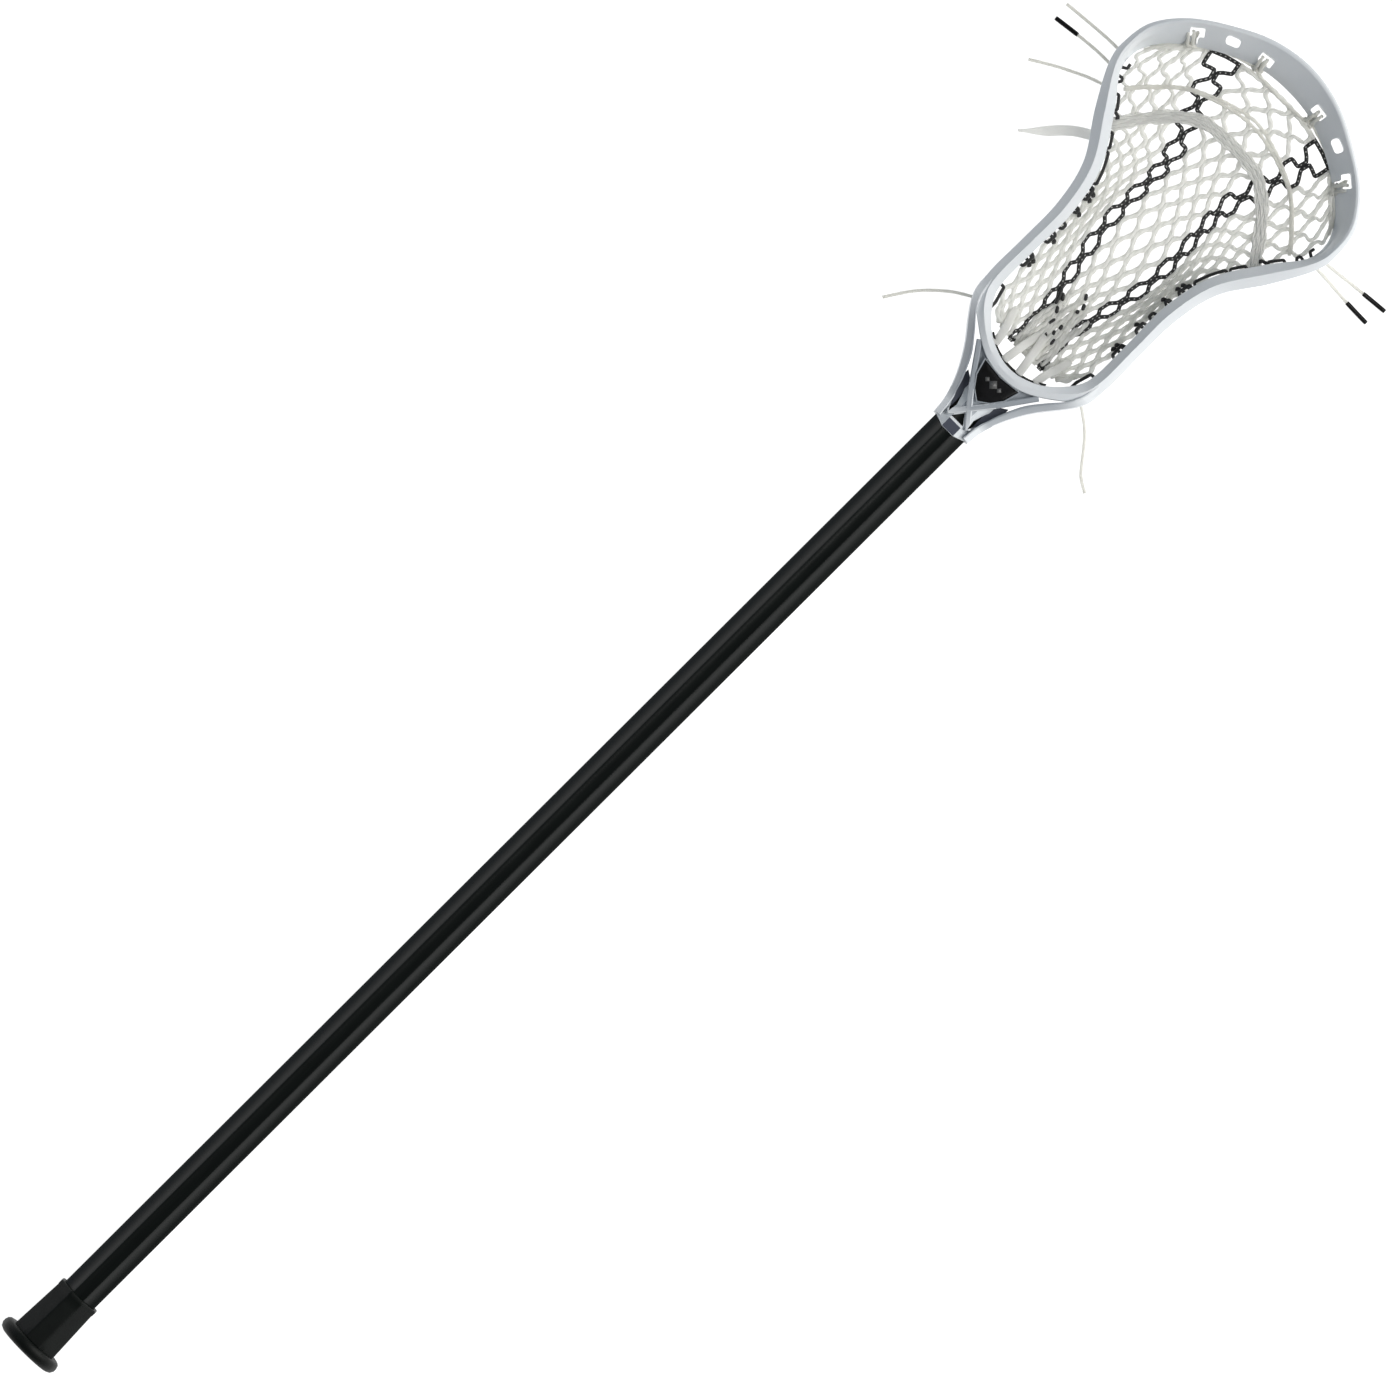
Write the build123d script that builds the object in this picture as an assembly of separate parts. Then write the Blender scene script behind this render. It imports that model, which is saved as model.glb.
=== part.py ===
from build123d import *

import os
from math import atan2, degrees, hypot, radians, tan

# Lacrosse stick of a men's attack player, in millimetres.
# +Y runs along the shaft from the butt to the scoop and +Z points out of the open face of the head.
# The origin is the centre of the end cap's flat end face, on the shaft's axis.
# The stick lies face up on the end cap's rim, the head's lower rails and the pocket, all at FLOOR.

# ---- driving dimensions -------------------------------------------------------------------
OVERALL_LENGTH = 1016.0  # butt face to scoop tip, the 40 inch minimum for an attack stick
SHAFT_LENGTH = 762.0  # a 30 inch handle
SHAFT_WIDTH = 22.4
SHAFT_DEPTH = 28.0
SHAFT_FRONT_FACET = 7.3
SHAFT_WALL = 1.4
FACET_HOLLOW = 0.2  # each facet of the shaft is this much concave at its middle
SHAFT_START = 8.0  # the shaft's butt end sits this far inside the cap
SHAFT_END = SHAFT_START + SHAFT_LENGTH

CAP_LENGTH = 44.0
CAP_RIM_RADIUS = 20.1
CAP_RIM_LENGTH = 8.0
CAP_RIM_ROUND = 3.6
CAP_MOUTH_WALL = 1.7
CAP_BASE_WALL = 3.1
CAP_CORNER_ROUND = 4.0
CAP_CLEARANCE = 0.1
FLOOR = -CAP_RIM_RADIUS

HEAD_START = 731.0
SOCKET_WALL = 1.6
SOCKET_CLEARANCE = 0.05
SOCKET_END = 774.0
THROAT_TOP = 17.6
THROAT_BOTTOM = -16.4
COVER_THICKNESS = 3.4
PLATE_TOP = THROAT_TOP + 1.2
PLATE_CLEARANCE = 0.15
WEB_THICKNESS = 3.2
SCREW_Y = 752.0
SCREW_RADIUS = 2.0
SCREW_HEAD_RADIUS = 4.0
SCREW_HEAD_HEIGHT = 2.4

PAD_TOP = 13.0
PAD_BOTTOM = -8.0
MESH_THICKNESS = 2.0
POCKET_BELLY = 2.2  # how flat the pocket's middle is across: 2 is round, more is flatter
STRING_RADIUS = 0.95
STRING_HOLE_RADIUS = 1.7
SHOOTING_CORD_RADIUS = 0.8
LACE_WIDTH = 7.2
LACE_THICKNESS = 1.4
TAIL_LACE_WIDTH = 6.0
THROAT_LACE_WIDTH = 4.8
THROAT_LACE_TOP = 6.0
TIP_RADIUS = 1.35
TIP_LENGTH = 16.5

# Stations of the head's wall on the +X side, from the ball stop's middle to the scoop's tip:
# the wall's outer and inner edge in plan, its highest level and its lowest level.
STATIONS = [
    ((0.0, 771.6), (0.0, 778.2), 18.0, -17.5),
    ((15.0, 774.2), (12.4, 780.8), 18.0, -17.6),
    ((30.5, 783.8), (23.9, 787.8), 17.6, -18.0),
    ((42.0, 794.5), (33.7, 799.6), 16.8, -18.8),
    ((46.4, 808.5), (36.8, 811.5), 15.6, -19.6),
    ((46.4, 836.0), (36.9, 836.0), 13.2, -20.0),
    ((47.0, 864.0), (36.9, 865.0), 11.6, -20.0),
    ((53.2, 890.2), (43.4, 894.2), 11.0, -19.6),
    ((69.4, 915.2), (59.6, 920.6), 12.0, -17.0),
    ((82.2, 939.0), (72.4, 938.6), 14.0, -13.0),
    ((84.6, 954.0), (75.8, 951.5), 16.4, -9.0),
    ((80.8, 971.0), (71.6, 963.4), 19.4, -4.2),
    ((67.6, 987.2), (57.8, 977.0), 23.0, 0.8),
    ((47.5, 1001.2), (39.8, 988.4), 26.0, 4.8),
    ((24.8, 1011.8), (20.6, 996.2), 28.2, 7.2),
    ((8.0, 1015.5), (6.6, 998.0), 28.9, 7.9),
    ((0.0, 1016.0), (0.0, 998.3), 29.0, 8.0),
]
SCOOP_BLEND_START = 8  # the station where the upright wall starts to lean over into the scoop
SCOOP_BLEND_END = 12  # the station where it is all scoop
FIRST_WINDOW = 4
LAST_WINDOW = 9

# Plan of the throat on the +X side.
THROAT_OUTLINE = [(12.6, 734.5), (14.0, 742.4), (16.0, 750.2), (19.2, 758.6), (23.1, 766.4), (27.9, 773.7),
                  (35.2, 782.4), (41.5, 790.4), (44.0, 796.5), (36.0, 794.0), (31.3, 783.7), (22.9, 773.7),
                  (16.8, 763.1), (14.4, 755.2), (11.5, 748.0), (10.0, 734.5)]
PLATE_CORNERS = [(-13.2, 772.3), (-9.6, 761.0), (0.0, 752.8), (9.6, 761.0), (13.2, 772.3)]

# Sections of the pocket from the throat to the scoop: place along the stick, half width,
# level of its edge and level of its middle.
POCKET = [
    (794.0, 20.0, -9.0, -11.5),
    (800.0, 28.5, -11.5, -14.5),
    (811.0, 33.0, -13.5, -17.5),
    (836.0, 33.3, -15.0, -18.8),
    (865.0, 33.5, -15.5, -18.8),
    (893.0, 39.2, -15.0, -18.8),
    (918.0, 53.4, -12.0, -18.2),
    (936.0, 66.0, -8.5, -16.0),
    (948.0, 71.0, -5.0, -12.5),
    (958.0, 69.6, -2.8, -8.5),
    (970.0, 60.6, -0.5, -4.6),
    (980.0, 48.4, 1.5, -1.0),
    (988.5, 32.6, 3.2, 2.2),
    (993.8, 17.0, 4.4, 4.0),
]
POCKET_ROWS_ACROSS = 9

# Free ends of the strings, from the hole that each leaves: x and y across the floor, z its height.
LYING = FLOOR + STRING_RADIUS + 0.05
TAILS = {
    "top_string_tail_left": [(-79.0, 948.6, -1.5), (-89.0, 948.3, -4.2), (-101.0, 947.3, -13.5),
                             (-111.5, 946.0, LYING + 0.8), (-122.4, 944.8, LYING)],
    "sidewall_tail_upper_left": [(-79.0, 939.6, -4.0), (-88.5, 939.2, -6.5), (-99.0, 938.0, -15.0),
                                 (-109.5, 936.8, -18.2), (-121.0, 934.6, -18.6)],
    "sidewall_tail_lower_left": [(-72.0, 930.0, -5.5), (-81.5, 926.4, -8.0), (-91.5, 921.9, -16.2),
                                 (-102.5, 916.2, LYING + 0.3), (-114.0, 908.6, LYING)],
    "bottom_string_tail_left": [(-40.5, 794.6, -8.0), (-50.0, 789.6, -10.0), (-58.5, 782.6, -16.6),
                                (-66.8, 774.0, LYING + 0.3), (-72.6, 765.4, LYING), (-77.6, 757.0, LYING)],
    "bottom_string_tail_right": [(41.0, 794.2, -8.0), (51.5, 787.8, -10.4), (59.5, 779.8, -16.8),
                                 (66.4, 771.0, LYING + 0.3), (72.2, 764.0, LYING), (79.6, 760.4, LYING)],
    "top_string_tail_right": [(79.5, 945.6, -1.8), (89.5, 946.2, -4.6), (101.5, 947.6, -14.4),
                              (113.0, 948.5, -18.2), (126.2, 949.0, -18.6)],
    "sidewall_tail_right": [(79.5, 940.6, -4.6), (89.0, 940.0, -7.2), (99.5, 938.9, -15.4),
                            (110.5, 937.8, -18.2), (122.8, 937.3, -18.6)],
}
TIPPED_TAILS = ["sidewall_tail_upper_left", "top_string_tail_right", "sidewall_tail_right"]
LACE_TAIL = [(-58.0, 905.4, -7.0), (-65.8, 900.8, -8.6), (-73.8, 893.6, -15.2), (-80.6, 885.4, FLOOR + 1.2),
             (-90.0, 876.6, FLOOR + 0.8)]


# ---- small helpers ------------------------------------------------------------------------
def smooth(t):
    t = min(1.0, max(0.0, t))
    return t * t * (3 - 2 * t)


def mirrored(points):
    """The same route on the other side of the stick's middle plane."""
    return [(-x, y, z) for x, y, z in points]


def both_sides(shape):
    return shape + mirror(shape, about=Plane.YZ)


def octagon(width, depth, front, hollow=0.0):
    """Shaft-like section: flat to flat width and depth, with its corners cut off at 45 degrees."""
    drop = (width - front) / 2
    half_width, half_depth, half_front = width / 2, depth / 2, front / 2
    quarter = [(half_front, half_depth), (half_width, half_depth - drop)]
    lower = [(x, -z) for x, z in reversed(quarter)]
    right = quarter + lower
    corners = right + [(-x, -z) for x, z in right]
    edges = []
    for (x0, z0), (x1, z1) in zip(corners, corners[1:] + corners[:1]):
        if hollow:
            middle = Vector((x0 + x1) / 2, (z0 + z1) / 2)
            edges.append(ThreePointArc((x0, z0), middle - middle.normalized() * hollow, (x1, z1)))
        else:
            edges.append(Line((x0, z0), (x1, z1)))
    return make_face(Curve() + edges)


def at_place(y):
    """A plane across the stick whose own x and y are the stick's x and z."""
    return Plane(origin=(0, y, 0), x_dir=(1, 0, 0), z_dir=(0, -1, 0))


def along_stick(section, start, end):
    return extrude(at_place(start) * section, amount=start - end)


def slab(corners, bottom, top):
    """A plan outline extruded from one level to another."""
    return extrude(Pos(0, 0, bottom) * make_face(Polyline(*corners, close=True)), amount=top - bottom)


def bar(start, end, width, bottom, top):
    """A straight strut in plan with round ends."""
    length = hypot(end[0] - start[0], end[1] - start[1])
    angle = degrees(atan2(end[1] - start[1], end[0] - start[0]))
    middle = Pos((start[0] + end[0]) / 2, (start[1] + end[1]) / 2, bottom)
    outline = middle * Rot(0, 0, angle) * SlotCenterToCenter(length, width)
    return extrude(outline, amount=top - bottom)


def route(points):
    """Straight runs joined by the largest tangent arcs that they allow, and the arcs' radii."""
    corners = [Vector(*point) for point in points]
    runs = [after - before for before, after in zip(corners, corners[1:])]
    radii = []
    for before, after in zip(runs, runs[1:]):
        turn = radians(before.get_angle(after))
        radii.append(0.45 * min(before.length, after.length) / tan(turn / 2))
    return FilletPolyline(*points, radius=radii), radii


def swept(path, section):
    start = Plane(origin=path @ 0, x_dir=(path % 0).cross(Vector(0, 0, 1)), z_dir=path % 0)
    return sweep(start * section, path=path)


def cord(name, points, radius):
    path, radii = route(points)
    tube = swept(path, Circle(radius))
    share = tube.volume / (Circle(radius).area * path.length)
    print(f"{name}: length {path.length:.1f}, radii {[round(r, 1) for r in radii]}, volume share {share:.3f}")
    return tube


def lace(name, points, width):
    path, radii = route(points)
    section = RectangleRounded(width, LACE_THICKNESS, 0.4 * LACE_THICKNESS)
    strip = swept(path, section)
    share = strip.volume / (section.area * path.length)
    print(f"{name}: length {path.length:.1f}, radii {[round(r, 1) for r in radii]}, volume share {share:.3f}")
    return strip


# ---- shaft, end cap and screw -------------------------------------------------------------
def sleeve_section(wall):
    """The shaft's outline grown by a wall."""
    front_growth = 2 * tan(radians(22.5)) * wall
    return octagon(SHAFT_WIDTH + 2 * wall, SHAFT_DEPTH + 2 * wall, SHAFT_FRONT_FACET + front_growth)


def screw_hole(radius):
    hole = Cylinder(radius, SHAFT_DEPTH / 2, align=(Align.CENTER, Align.CENTER, Align.MAX))
    return Pos(0, SCREW_Y, 0) * hole


def make_shaft():
    outer = octagon(SHAFT_WIDTH, SHAFT_DEPTH, SHAFT_FRONT_FACET, FACET_HOLLOW)
    inner = sleeve_section(-SHAFT_WALL - FACET_HOLLOW)
    return along_stick(outer - inner, SHAFT_START, SHAFT_END) - screw_hole(SCREW_RADIUS + 0.05)


def rounded_sleeve(wall, y):
    section = sleeve_section(wall)
    return at_place(y) * fillet(section.vertices(), CAP_CORNER_ROUND)


def make_end_cap():
    sleeve = loft([rounded_sleeve(CAP_BASE_WALL, CAP_RIM_LENGTH / 2), rounded_sleeve(CAP_MOUTH_WALL, CAP_LENGTH)])
    rim = along_stick(Circle(CAP_RIM_RADIUS), 0, CAP_RIM_LENGTH)
    rim = fillet(rim.edges(), CAP_RIM_ROUND)
    return sleeve + rim - along_stick(sleeve_section(CAP_CLEARANCE), SHAFT_START, CAP_LENGTH + 1)


def make_screw():
    head = Pos(0, SCREW_Y, THROAT_BOTTOM) * Cylinder(
        SCREW_HEAD_RADIUS, SCREW_HEAD_HEIGHT, align=(Align.CENTER, Align.CENTER, Align.MAX))
    rim = head.faces().sort_by(Axis.Z)[0].edges()
    head = fillet(rim, 0.8)
    shank = Pos(0, SCREW_Y, THROAT_BOTTOM) * Cylinder(
        SCREW_RADIUS, 6.0, align=(Align.CENTER, Align.CENTER, Align.MIN))
    slot = Pos(0, SCREW_Y, THROAT_BOTTOM - SCREW_HEAD_HEIGHT) * Box(6.0, 1.1, 2.4)
    cross = Pos(0, SCREW_Y, THROAT_BOTTOM - SCREW_HEAD_HEIGHT) * Box(1.1, 6.0, 2.4)
    return head + shank - slot - cross


# ---- head frame ---------------------------------------------------------------------------
def upright_profile(width, top, bottom):
    """Wall with a roof-shaped upper rail, a thin web and a lower rail, as (outwards, up) points."""
    web_out = width - 2.6
    web_in = max(web_out - WEB_THICKNESS, 1.0)
    return [
        (0.52 * width, top),
        (width - 0.4, top - 2.6),
        (width, top - 4.6),
        (web_out, top - 7.5),
        (web_out, bottom + 8.0),
        (width - 0.8, bottom + 5.5),
        (width - 1.0, bottom + 1.2),
        (width - 2.6, bottom),
        (2.4, bottom),
        (0.9, bottom + 1.2),
        (0.7, bottom + 5.5),
        (web_in, bottom + 8.0),
        (web_in, top - 7.5),
        (0.0, top - 4.9),
        (0.4, top - 3.0),
    ]


def scoop_profile(width, top, bottom):
    """Leaning blade of the scoop, with as many points in the same order."""
    rise = top - bottom
    return [
        (width - 1.6, top),
        (width - 0.3, top - 0.7),
        (width, top - 2.2),
        (0.90 * width, top - 0.30 * rise),
        (0.52 * width, bottom + 0.30 * rise),
        (0.36 * width, bottom + 0.12 * rise),
        (0.26 * width, bottom + 0.01 * rise),
        (0.16 * width, bottom - 0.6),
        (0.06 * width, bottom - 0.2),
        (0.0, bottom + 0.8),
        (0.06 * width, bottom + 0.14 * rise),
        (0.20 * width, bottom + 0.34 * rise),
        (0.58 * width, bottom + 0.72 * rise),
        (0.76 * width, bottom + 0.88 * rise),
        (width - 2.9, top - 0.5),
    ]


def wall_section(station):
    outer, inner, top, bottom = STATIONS[station]
    width = hypot(outer[0] - inner[0], outer[1] - inner[1])
    out_x, out_y = (outer[0] - inner[0]) / width, (outer[1] - inner[1]) / width
    lean = smooth((station - SCOOP_BLEND_START) / (SCOOP_BLEND_END - SCOOP_BLEND_START))
    points = []
    for (r0, z0), (r1, z1) in zip(upright_profile(width, top, bottom), scoop_profile(width, top, bottom)):
        reach = r0 + (r1 - r0) * lean
        points.append((inner[0] + out_x * reach, inner[1] + out_y * reach, z0 + (z1 - z0) * lean))
    return Wire.make_polygon(points, close=True)


def wall_frame(position, level):
    """Location on the wall's middle at a fractional station, with x along the wall and y outwards."""
    first = int(position)
    share = position - first
    middles = []
    for (outer, inner, _, _) in STATIONS[first:first + 2]:
        middles.append(Vector((outer[0] + inner[0]) / 2, (outer[1] + inner[1]) / 2))
    along = middles[1] - middles[0]
    place = middles[0] + along * share
    return Plane(origin=(place.X, place.Y, level), x_dir=(along.X, along.Y, 0), z_dir=(along.Y, -along.X, 0))


def level_at(position, which):
    first = int(position)
    share = position - first
    return STATIONS[first][which] * (1 - share) + STATIONS[first + 1][which] * share


def window(station):
    """One opening between the rails, leaning with the wall's truss."""
    position = station + 0.5
    top, bottom = level_at(position, 2) - 8.6, level_at(position, 3) + 9.2
    if top - bottom < 5.0:
        return []
    plane = wall_frame(position, (top + bottom) / 2)
    half_height = (top - bottom) / 2
    lean = 3.0 if station % 2 else -3.0
    corners = [(-8.5 - lean, -half_height), (8.5 - lean, -half_height), (8.5 + lean, half_height),
               (-8.5 + lean, half_height)]
    outline = fillet(make_face(Polyline(*corners, close=True)).vertices(), 2.2)
    return [extrude(plane * outline, amount=14, both=True)]


def string_holes():
    holes = []
    for third in range(3 * 3 + 1, 3 * 10):
        position = third / 3
        plane = wall_frame(position, level_at(position, 3) + 3.9)
        holes.append(plane * Cylinder(STRING_HOLE_RADIUS, 26))
    return holes


def scoop_holes():
    """Holes for the top string, cut straight down through the leaning blade."""
    holes = []
    for x, y, turn in ((20.7, 1001.9, -7), (41.1, 996.0, -18), (58.7, 986.2, -35)):
        slot = Pos(x, y, -10) * Rot(0, 0, turn) * SlotOverall(8.5, 4.8)
        holes.append(extrude(slot, amount=60))
    for x, y, turn in ((20.7, 998.6, -7), (57.0, 983.6, -35)):
        stem = Pos(x, y, -10) * Rot(0, 0, turn) * Rectangle(2.4, 6.0)
        holes.append(extrude(stem, amount=60))
    return holes


def make_throat():
    socket = along_stick(sleeve_section(SOCKET_WALL + SOCKET_CLEARANCE), HEAD_START, SOCKET_END)
    wing = slab(THROAT_OUTLINE, THROAT_BOTTOM, THROAT_TOP - 1.0)
    arms = bar((-8.4, 736.6), (27.0, 781.0), 4.2, THROAT_TOP - COVER_THICKNESS, THROAT_TOP)
    side = wing + arms
    cradle = slab(PLATE_CORNERS, THROAT_TOP - COVER_THICKNESS, THROAT_TOP)
    return socket + both_sides(side) + cradle


def cover_windows():
    """Openings in the socket's face that leave the crossed arms standing."""
    front = [(-5.6, 737.4), (5.6, 737.4), (0.0, 744.6)]
    side = [(11.2, 739.0), (4.4, 747.2), (11.0, 755.6), (13.0, 752.0)]
    windows = [slab(front, 5.0, THROAT_TOP + 1)]
    windows += [slab(side, 2.0, THROAT_TOP + 1), slab([(-x, y) for x, y in side], 2.0, THROAT_TOP + 1)]
    return windows


def plate_recess(clearance):
    outline = make_face(Polyline(*PLATE_CORNERS, close=True))
    outline = offset(outline, amount=clearance - 1.3)
    return extrude(Pos(0, 0, THROAT_TOP - 1.4) * outline, amount=PLATE_TOP - THROAT_TOP + 1.4)


def make_wall():
    """The ball stop, both sidewalls and the scoop, in two halves that meet on the middle plane."""
    half = Solid.make_loft([wall_section(station) for station in range(len(STATIONS))])
    return both_sides(half)


def make_head():
    head = make_wall() + make_throat()
    head -= along_stick(sleeve_section(SOCKET_CLEARANCE), HEAD_START - 1, SHAFT_END + 0.5)
    right_cuts = string_holes()
    for station in range(FIRST_WINDOW, LAST_WINDOW):
        right_cuts += window(station)
    right_cuts += scoop_holes()
    cuts = right_cuts + [mirror(cut, about=Plane.YZ) for cut in right_cuts]
    cuts += cover_windows()
    cuts.append(plate_recess(PLATE_CLEARANCE))
    cuts.append(screw_hole(SCREW_RADIUS + 0.05) + Pos(0, 0, -4) * screw_hole(SCREW_RADIUS + 0.05))
    for points in [*TAILS.values(), LACE_TAIL]:
        start, next_point = Vector(*points[0]), Vector(*points[1])
        plane = Plane(origin=start, z_dir=next_point - start)
        cuts.append(plane * Cylinder(STRING_HOLE_RADIUS, 24))
    return head - cuts


# ---- pads and plate on the head -----------------------------------------------------------
def make_plate():
    outline = make_face(Polyline(*PLATE_CORNERS, close=True))
    outline = fillet(offset(outline, amount=-1.3).vertices(), 0.8)
    plate = extrude(Pos(0, 0, THROAT_TOP - 1.4) * outline, amount=PLATE_TOP - THROAT_TOP + 1.4)
    return fillet(plate.faces().sort_by(Axis.Z)[-1].edges(), 0.5)


def make_ball_stop_pad():
    """Foam strip on the ball stop's inner face, following its bend."""
    half = [(0.0, 778.2), (11.9, 780.9), (23.5, 789.1), (29.6, 796.6)]
    left = [(-x, y) for x, y in half[:0:-1]]
    back = left + half
    front = [(x * 0.93, y + 2.6) for x, y in reversed(back)]
    pad = slab(back + front, PAD_BOTTOM, PAD_TOP)
    return pad


# ---- pocket and strings -------------------------------------------------------------------
def pocket_shape(y):
    """Half width, edge level and middle level of the pocket at a place along the stick."""
    for low, high in zip(POCKET, POCKET[1:]):
        if y <= high[0]:
            share = (y - low[0]) / (high[0] - low[0])
            return [a + (b - a) * share for a, b in zip(low[1:], high[1:])]
    return POCKET[-1][1:]


def pocket_level(x, y):
    """Height of the pocket's upper surface."""
    half_width, edge, middle = pocket_shape(y)
    share = min(1.0, abs(x) / half_width)
    return middle + (edge - middle) * share**POCKET_BELLY + MESH_THICKNESS / 2


def make_pocket():
    sections = []
    for y, half_width, _, _ in POCKET:
        steps = range(-POCKET_ROWS_ACROSS, POCKET_ROWS_ACROSS + 1)
        upper = [(half_width * step / POCKET_ROWS_ACROSS, y) for step in steps]
        top = [(x, y, pocket_level(x, y)) for x, y in upper]
        bottom = [(x, y, z - MESH_THICKNESS) for x, y, z in reversed(top)]
        sections.append(Wire.make_polygon(top + bottom, close=True))
    return Solid.make_loft(sections, ruled=True)


def on_pocket(points, lift):
    """A route over the pocket, at a height above its upper surface."""
    return [(x, y, pocket_level(x, y) + lift) for x, y in points]


def make_top_string():
    """Runs along the pocket's upper edge, and up into each of the scoop's string holes."""
    half = [(8.0, 996.0, 6.3), (19.0, 994.8, 6.0), (21.0, 1001.2, 10.2), (23.4, 993.4, 5.6), (38.2, 987.0, 4.2),
            (53.6, 977.6, 2.0), (58.0, 985.4, 8.4), (59.4, 973.8, 1.0), (69.0, 963.4, -2.2)]
    points = mirrored(reversed(half)) + half
    return cord("top_string", points, STRING_RADIUS)


def make_sidewall_string():
    points = [(29.8, 797.4, -11.0), (33.9, 805.6, -13.2), (35.0, 820.0, -14.4), (35.1, 842.0, -15.0),
              (35.2, 864.0, -15.4), (37.0, 880.0, -15.4), (42.4, 895.4, -14.6), (56.0, 918.6, -12.0),
              (68.6, 936.2, -8.8), (73.2, 947.4, -5.6)]
    return cord("sidewall_string", points, STRING_RADIUS)


def make_shooting_cord():
    half = [(25.1, 968.1), (41.3, 960.3), (55.9, 947.4), (64.0, 937.5)]
    points = [(-x, y) for x, y in reversed(half)] + [(0.0, 973.7)] + half
    return cord("shooting_cord", on_pocket(points, SHOOTING_CORD_RADIUS + 0.5), SHOOTING_CORD_RADIUS)


def make_shooting_lace():
    half = [(20.1, 954.1), (34.1, 945.2), (44.7, 934.6), (53.0, 922.0)]
    points = [(-x, y) for x, y in reversed(half)] + [(0.0, 955.8)] + half
    return lace("shooting_lace", on_pocket(points, LACE_THICKNESS / 2 + 1.1), LACE_WIDTH)


def make_throat_laces():
    """Four laces that tie the pocket's lower end to the ball stop."""
    routes = [((19.9, 804.5), (15.1, 784.8)), ((3.4, 803.5), (6.4, 782.4))]
    strips = []
    for (x0, y0), (x1, y1) in routes:
        low = pocket_level(x0, y0) + LACE_THICKNESS / 2 + 0.3
        points = [(x0, y0, low), ((x0 + x1) / 2, (y0 + y1) / 2 + 2, low + 3.0), (x1, y1 + 0.6, THROAT_LACE_TOP)]
        strips.append(lace("throat_lace", points, THROAT_LACE_WIDTH))
    return both_sides(strips[0]) + both_sides(strips[1])


def tipped(points):
    """Plastic tip round the last stretch of a tail."""
    path, _ = route(points)
    end = path.trim(1 - TIP_LENGTH / path.length, 1)
    return swept(end, Circle(TIP_RADIUS)) - swept(end, Circle(STRING_RADIUS + 0.02))


# ---- all pieces ---------------------------------------------------------------------------
def make_parts():
    sidewall_string = make_sidewall_string()
    parts = {
        "shaft": make_shaft(),
        "end_cap": make_end_cap(),
        "head_frame": make_head(),
        "head_screw": make_screw(),
        "throat_plate": make_plate(),
        "ball_stop_pad": make_ball_stop_pad(),
        "mesh_pocket": make_pocket(),
        "top_string": make_top_string(),
        "sidewall_string_left": mirror(sidewall_string, about=Plane.YZ),
        "sidewall_string_right": sidewall_string,
        "shooting_cord": make_shooting_cord(),
        "shooting_lace": make_shooting_lace(),
        "throat_laces": make_throat_laces(),
        "shooting_lace_tail": lace("shooting_lace_tail", LACE_TAIL, TAIL_LACE_WIDTH),
    }
    for name, points in TAILS.items():
        parts[name] = cord(name, points, STRING_RADIUS)
    for name in TIPPED_TAILS:
        parts[name.replace("tail", "tip")] = tipped(TAILS[name])
    return parts


os.makedirs("parts", exist_ok=True)
for name, part in make_parts().items():
    export_step(part, f"parts/{name}.step")
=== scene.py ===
from math import ceil, copysign, cos, hypot, pi, radians, sin, sqrt, tan

import bmesh
import bpy
import numpy as np
from mathutils import Matrix, Vector


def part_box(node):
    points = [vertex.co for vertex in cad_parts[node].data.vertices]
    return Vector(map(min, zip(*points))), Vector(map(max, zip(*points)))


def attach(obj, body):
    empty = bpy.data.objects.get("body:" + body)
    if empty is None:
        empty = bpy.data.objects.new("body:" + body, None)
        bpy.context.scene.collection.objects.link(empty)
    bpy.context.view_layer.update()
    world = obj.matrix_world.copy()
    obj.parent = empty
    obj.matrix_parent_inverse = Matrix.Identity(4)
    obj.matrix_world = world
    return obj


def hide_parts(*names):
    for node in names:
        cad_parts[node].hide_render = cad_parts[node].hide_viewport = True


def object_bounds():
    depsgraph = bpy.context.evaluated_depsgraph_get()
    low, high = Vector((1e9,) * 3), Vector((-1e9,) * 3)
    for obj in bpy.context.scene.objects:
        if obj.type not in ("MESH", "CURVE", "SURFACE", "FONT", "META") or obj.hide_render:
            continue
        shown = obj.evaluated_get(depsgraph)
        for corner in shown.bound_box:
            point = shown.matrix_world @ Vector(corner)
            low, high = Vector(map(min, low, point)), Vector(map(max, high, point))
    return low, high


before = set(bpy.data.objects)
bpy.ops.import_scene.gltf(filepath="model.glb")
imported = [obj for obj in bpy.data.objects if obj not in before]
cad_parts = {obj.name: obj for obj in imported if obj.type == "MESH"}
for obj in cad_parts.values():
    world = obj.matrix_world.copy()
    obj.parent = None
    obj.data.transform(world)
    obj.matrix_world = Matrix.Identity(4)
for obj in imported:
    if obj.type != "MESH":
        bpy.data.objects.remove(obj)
cad_low, cad_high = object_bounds()

# Every place below is in the part's own frame: +Y from the butt to the scoop, +Z out of the
# head's open face. Tables are in millimetres, and MM turns them into Blender's metres.
MM = 0.001
FLOOR = cad_low.z / MM

SHAFT_LOW, SHAFT_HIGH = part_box("shaft")
SHAFT_WIDTH = (SHAFT_HIGH.x - SHAFT_LOW.x) / MM
SHAFT_DEPTH = (SHAFT_HIGH.z - SHAFT_LOW.z) / MM
SHAFT_FRONT_FACET = 7.3
FACET_GROWTH = 0.83  # how much wider an octagon's facet gets for each millimetre its sides move out

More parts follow.
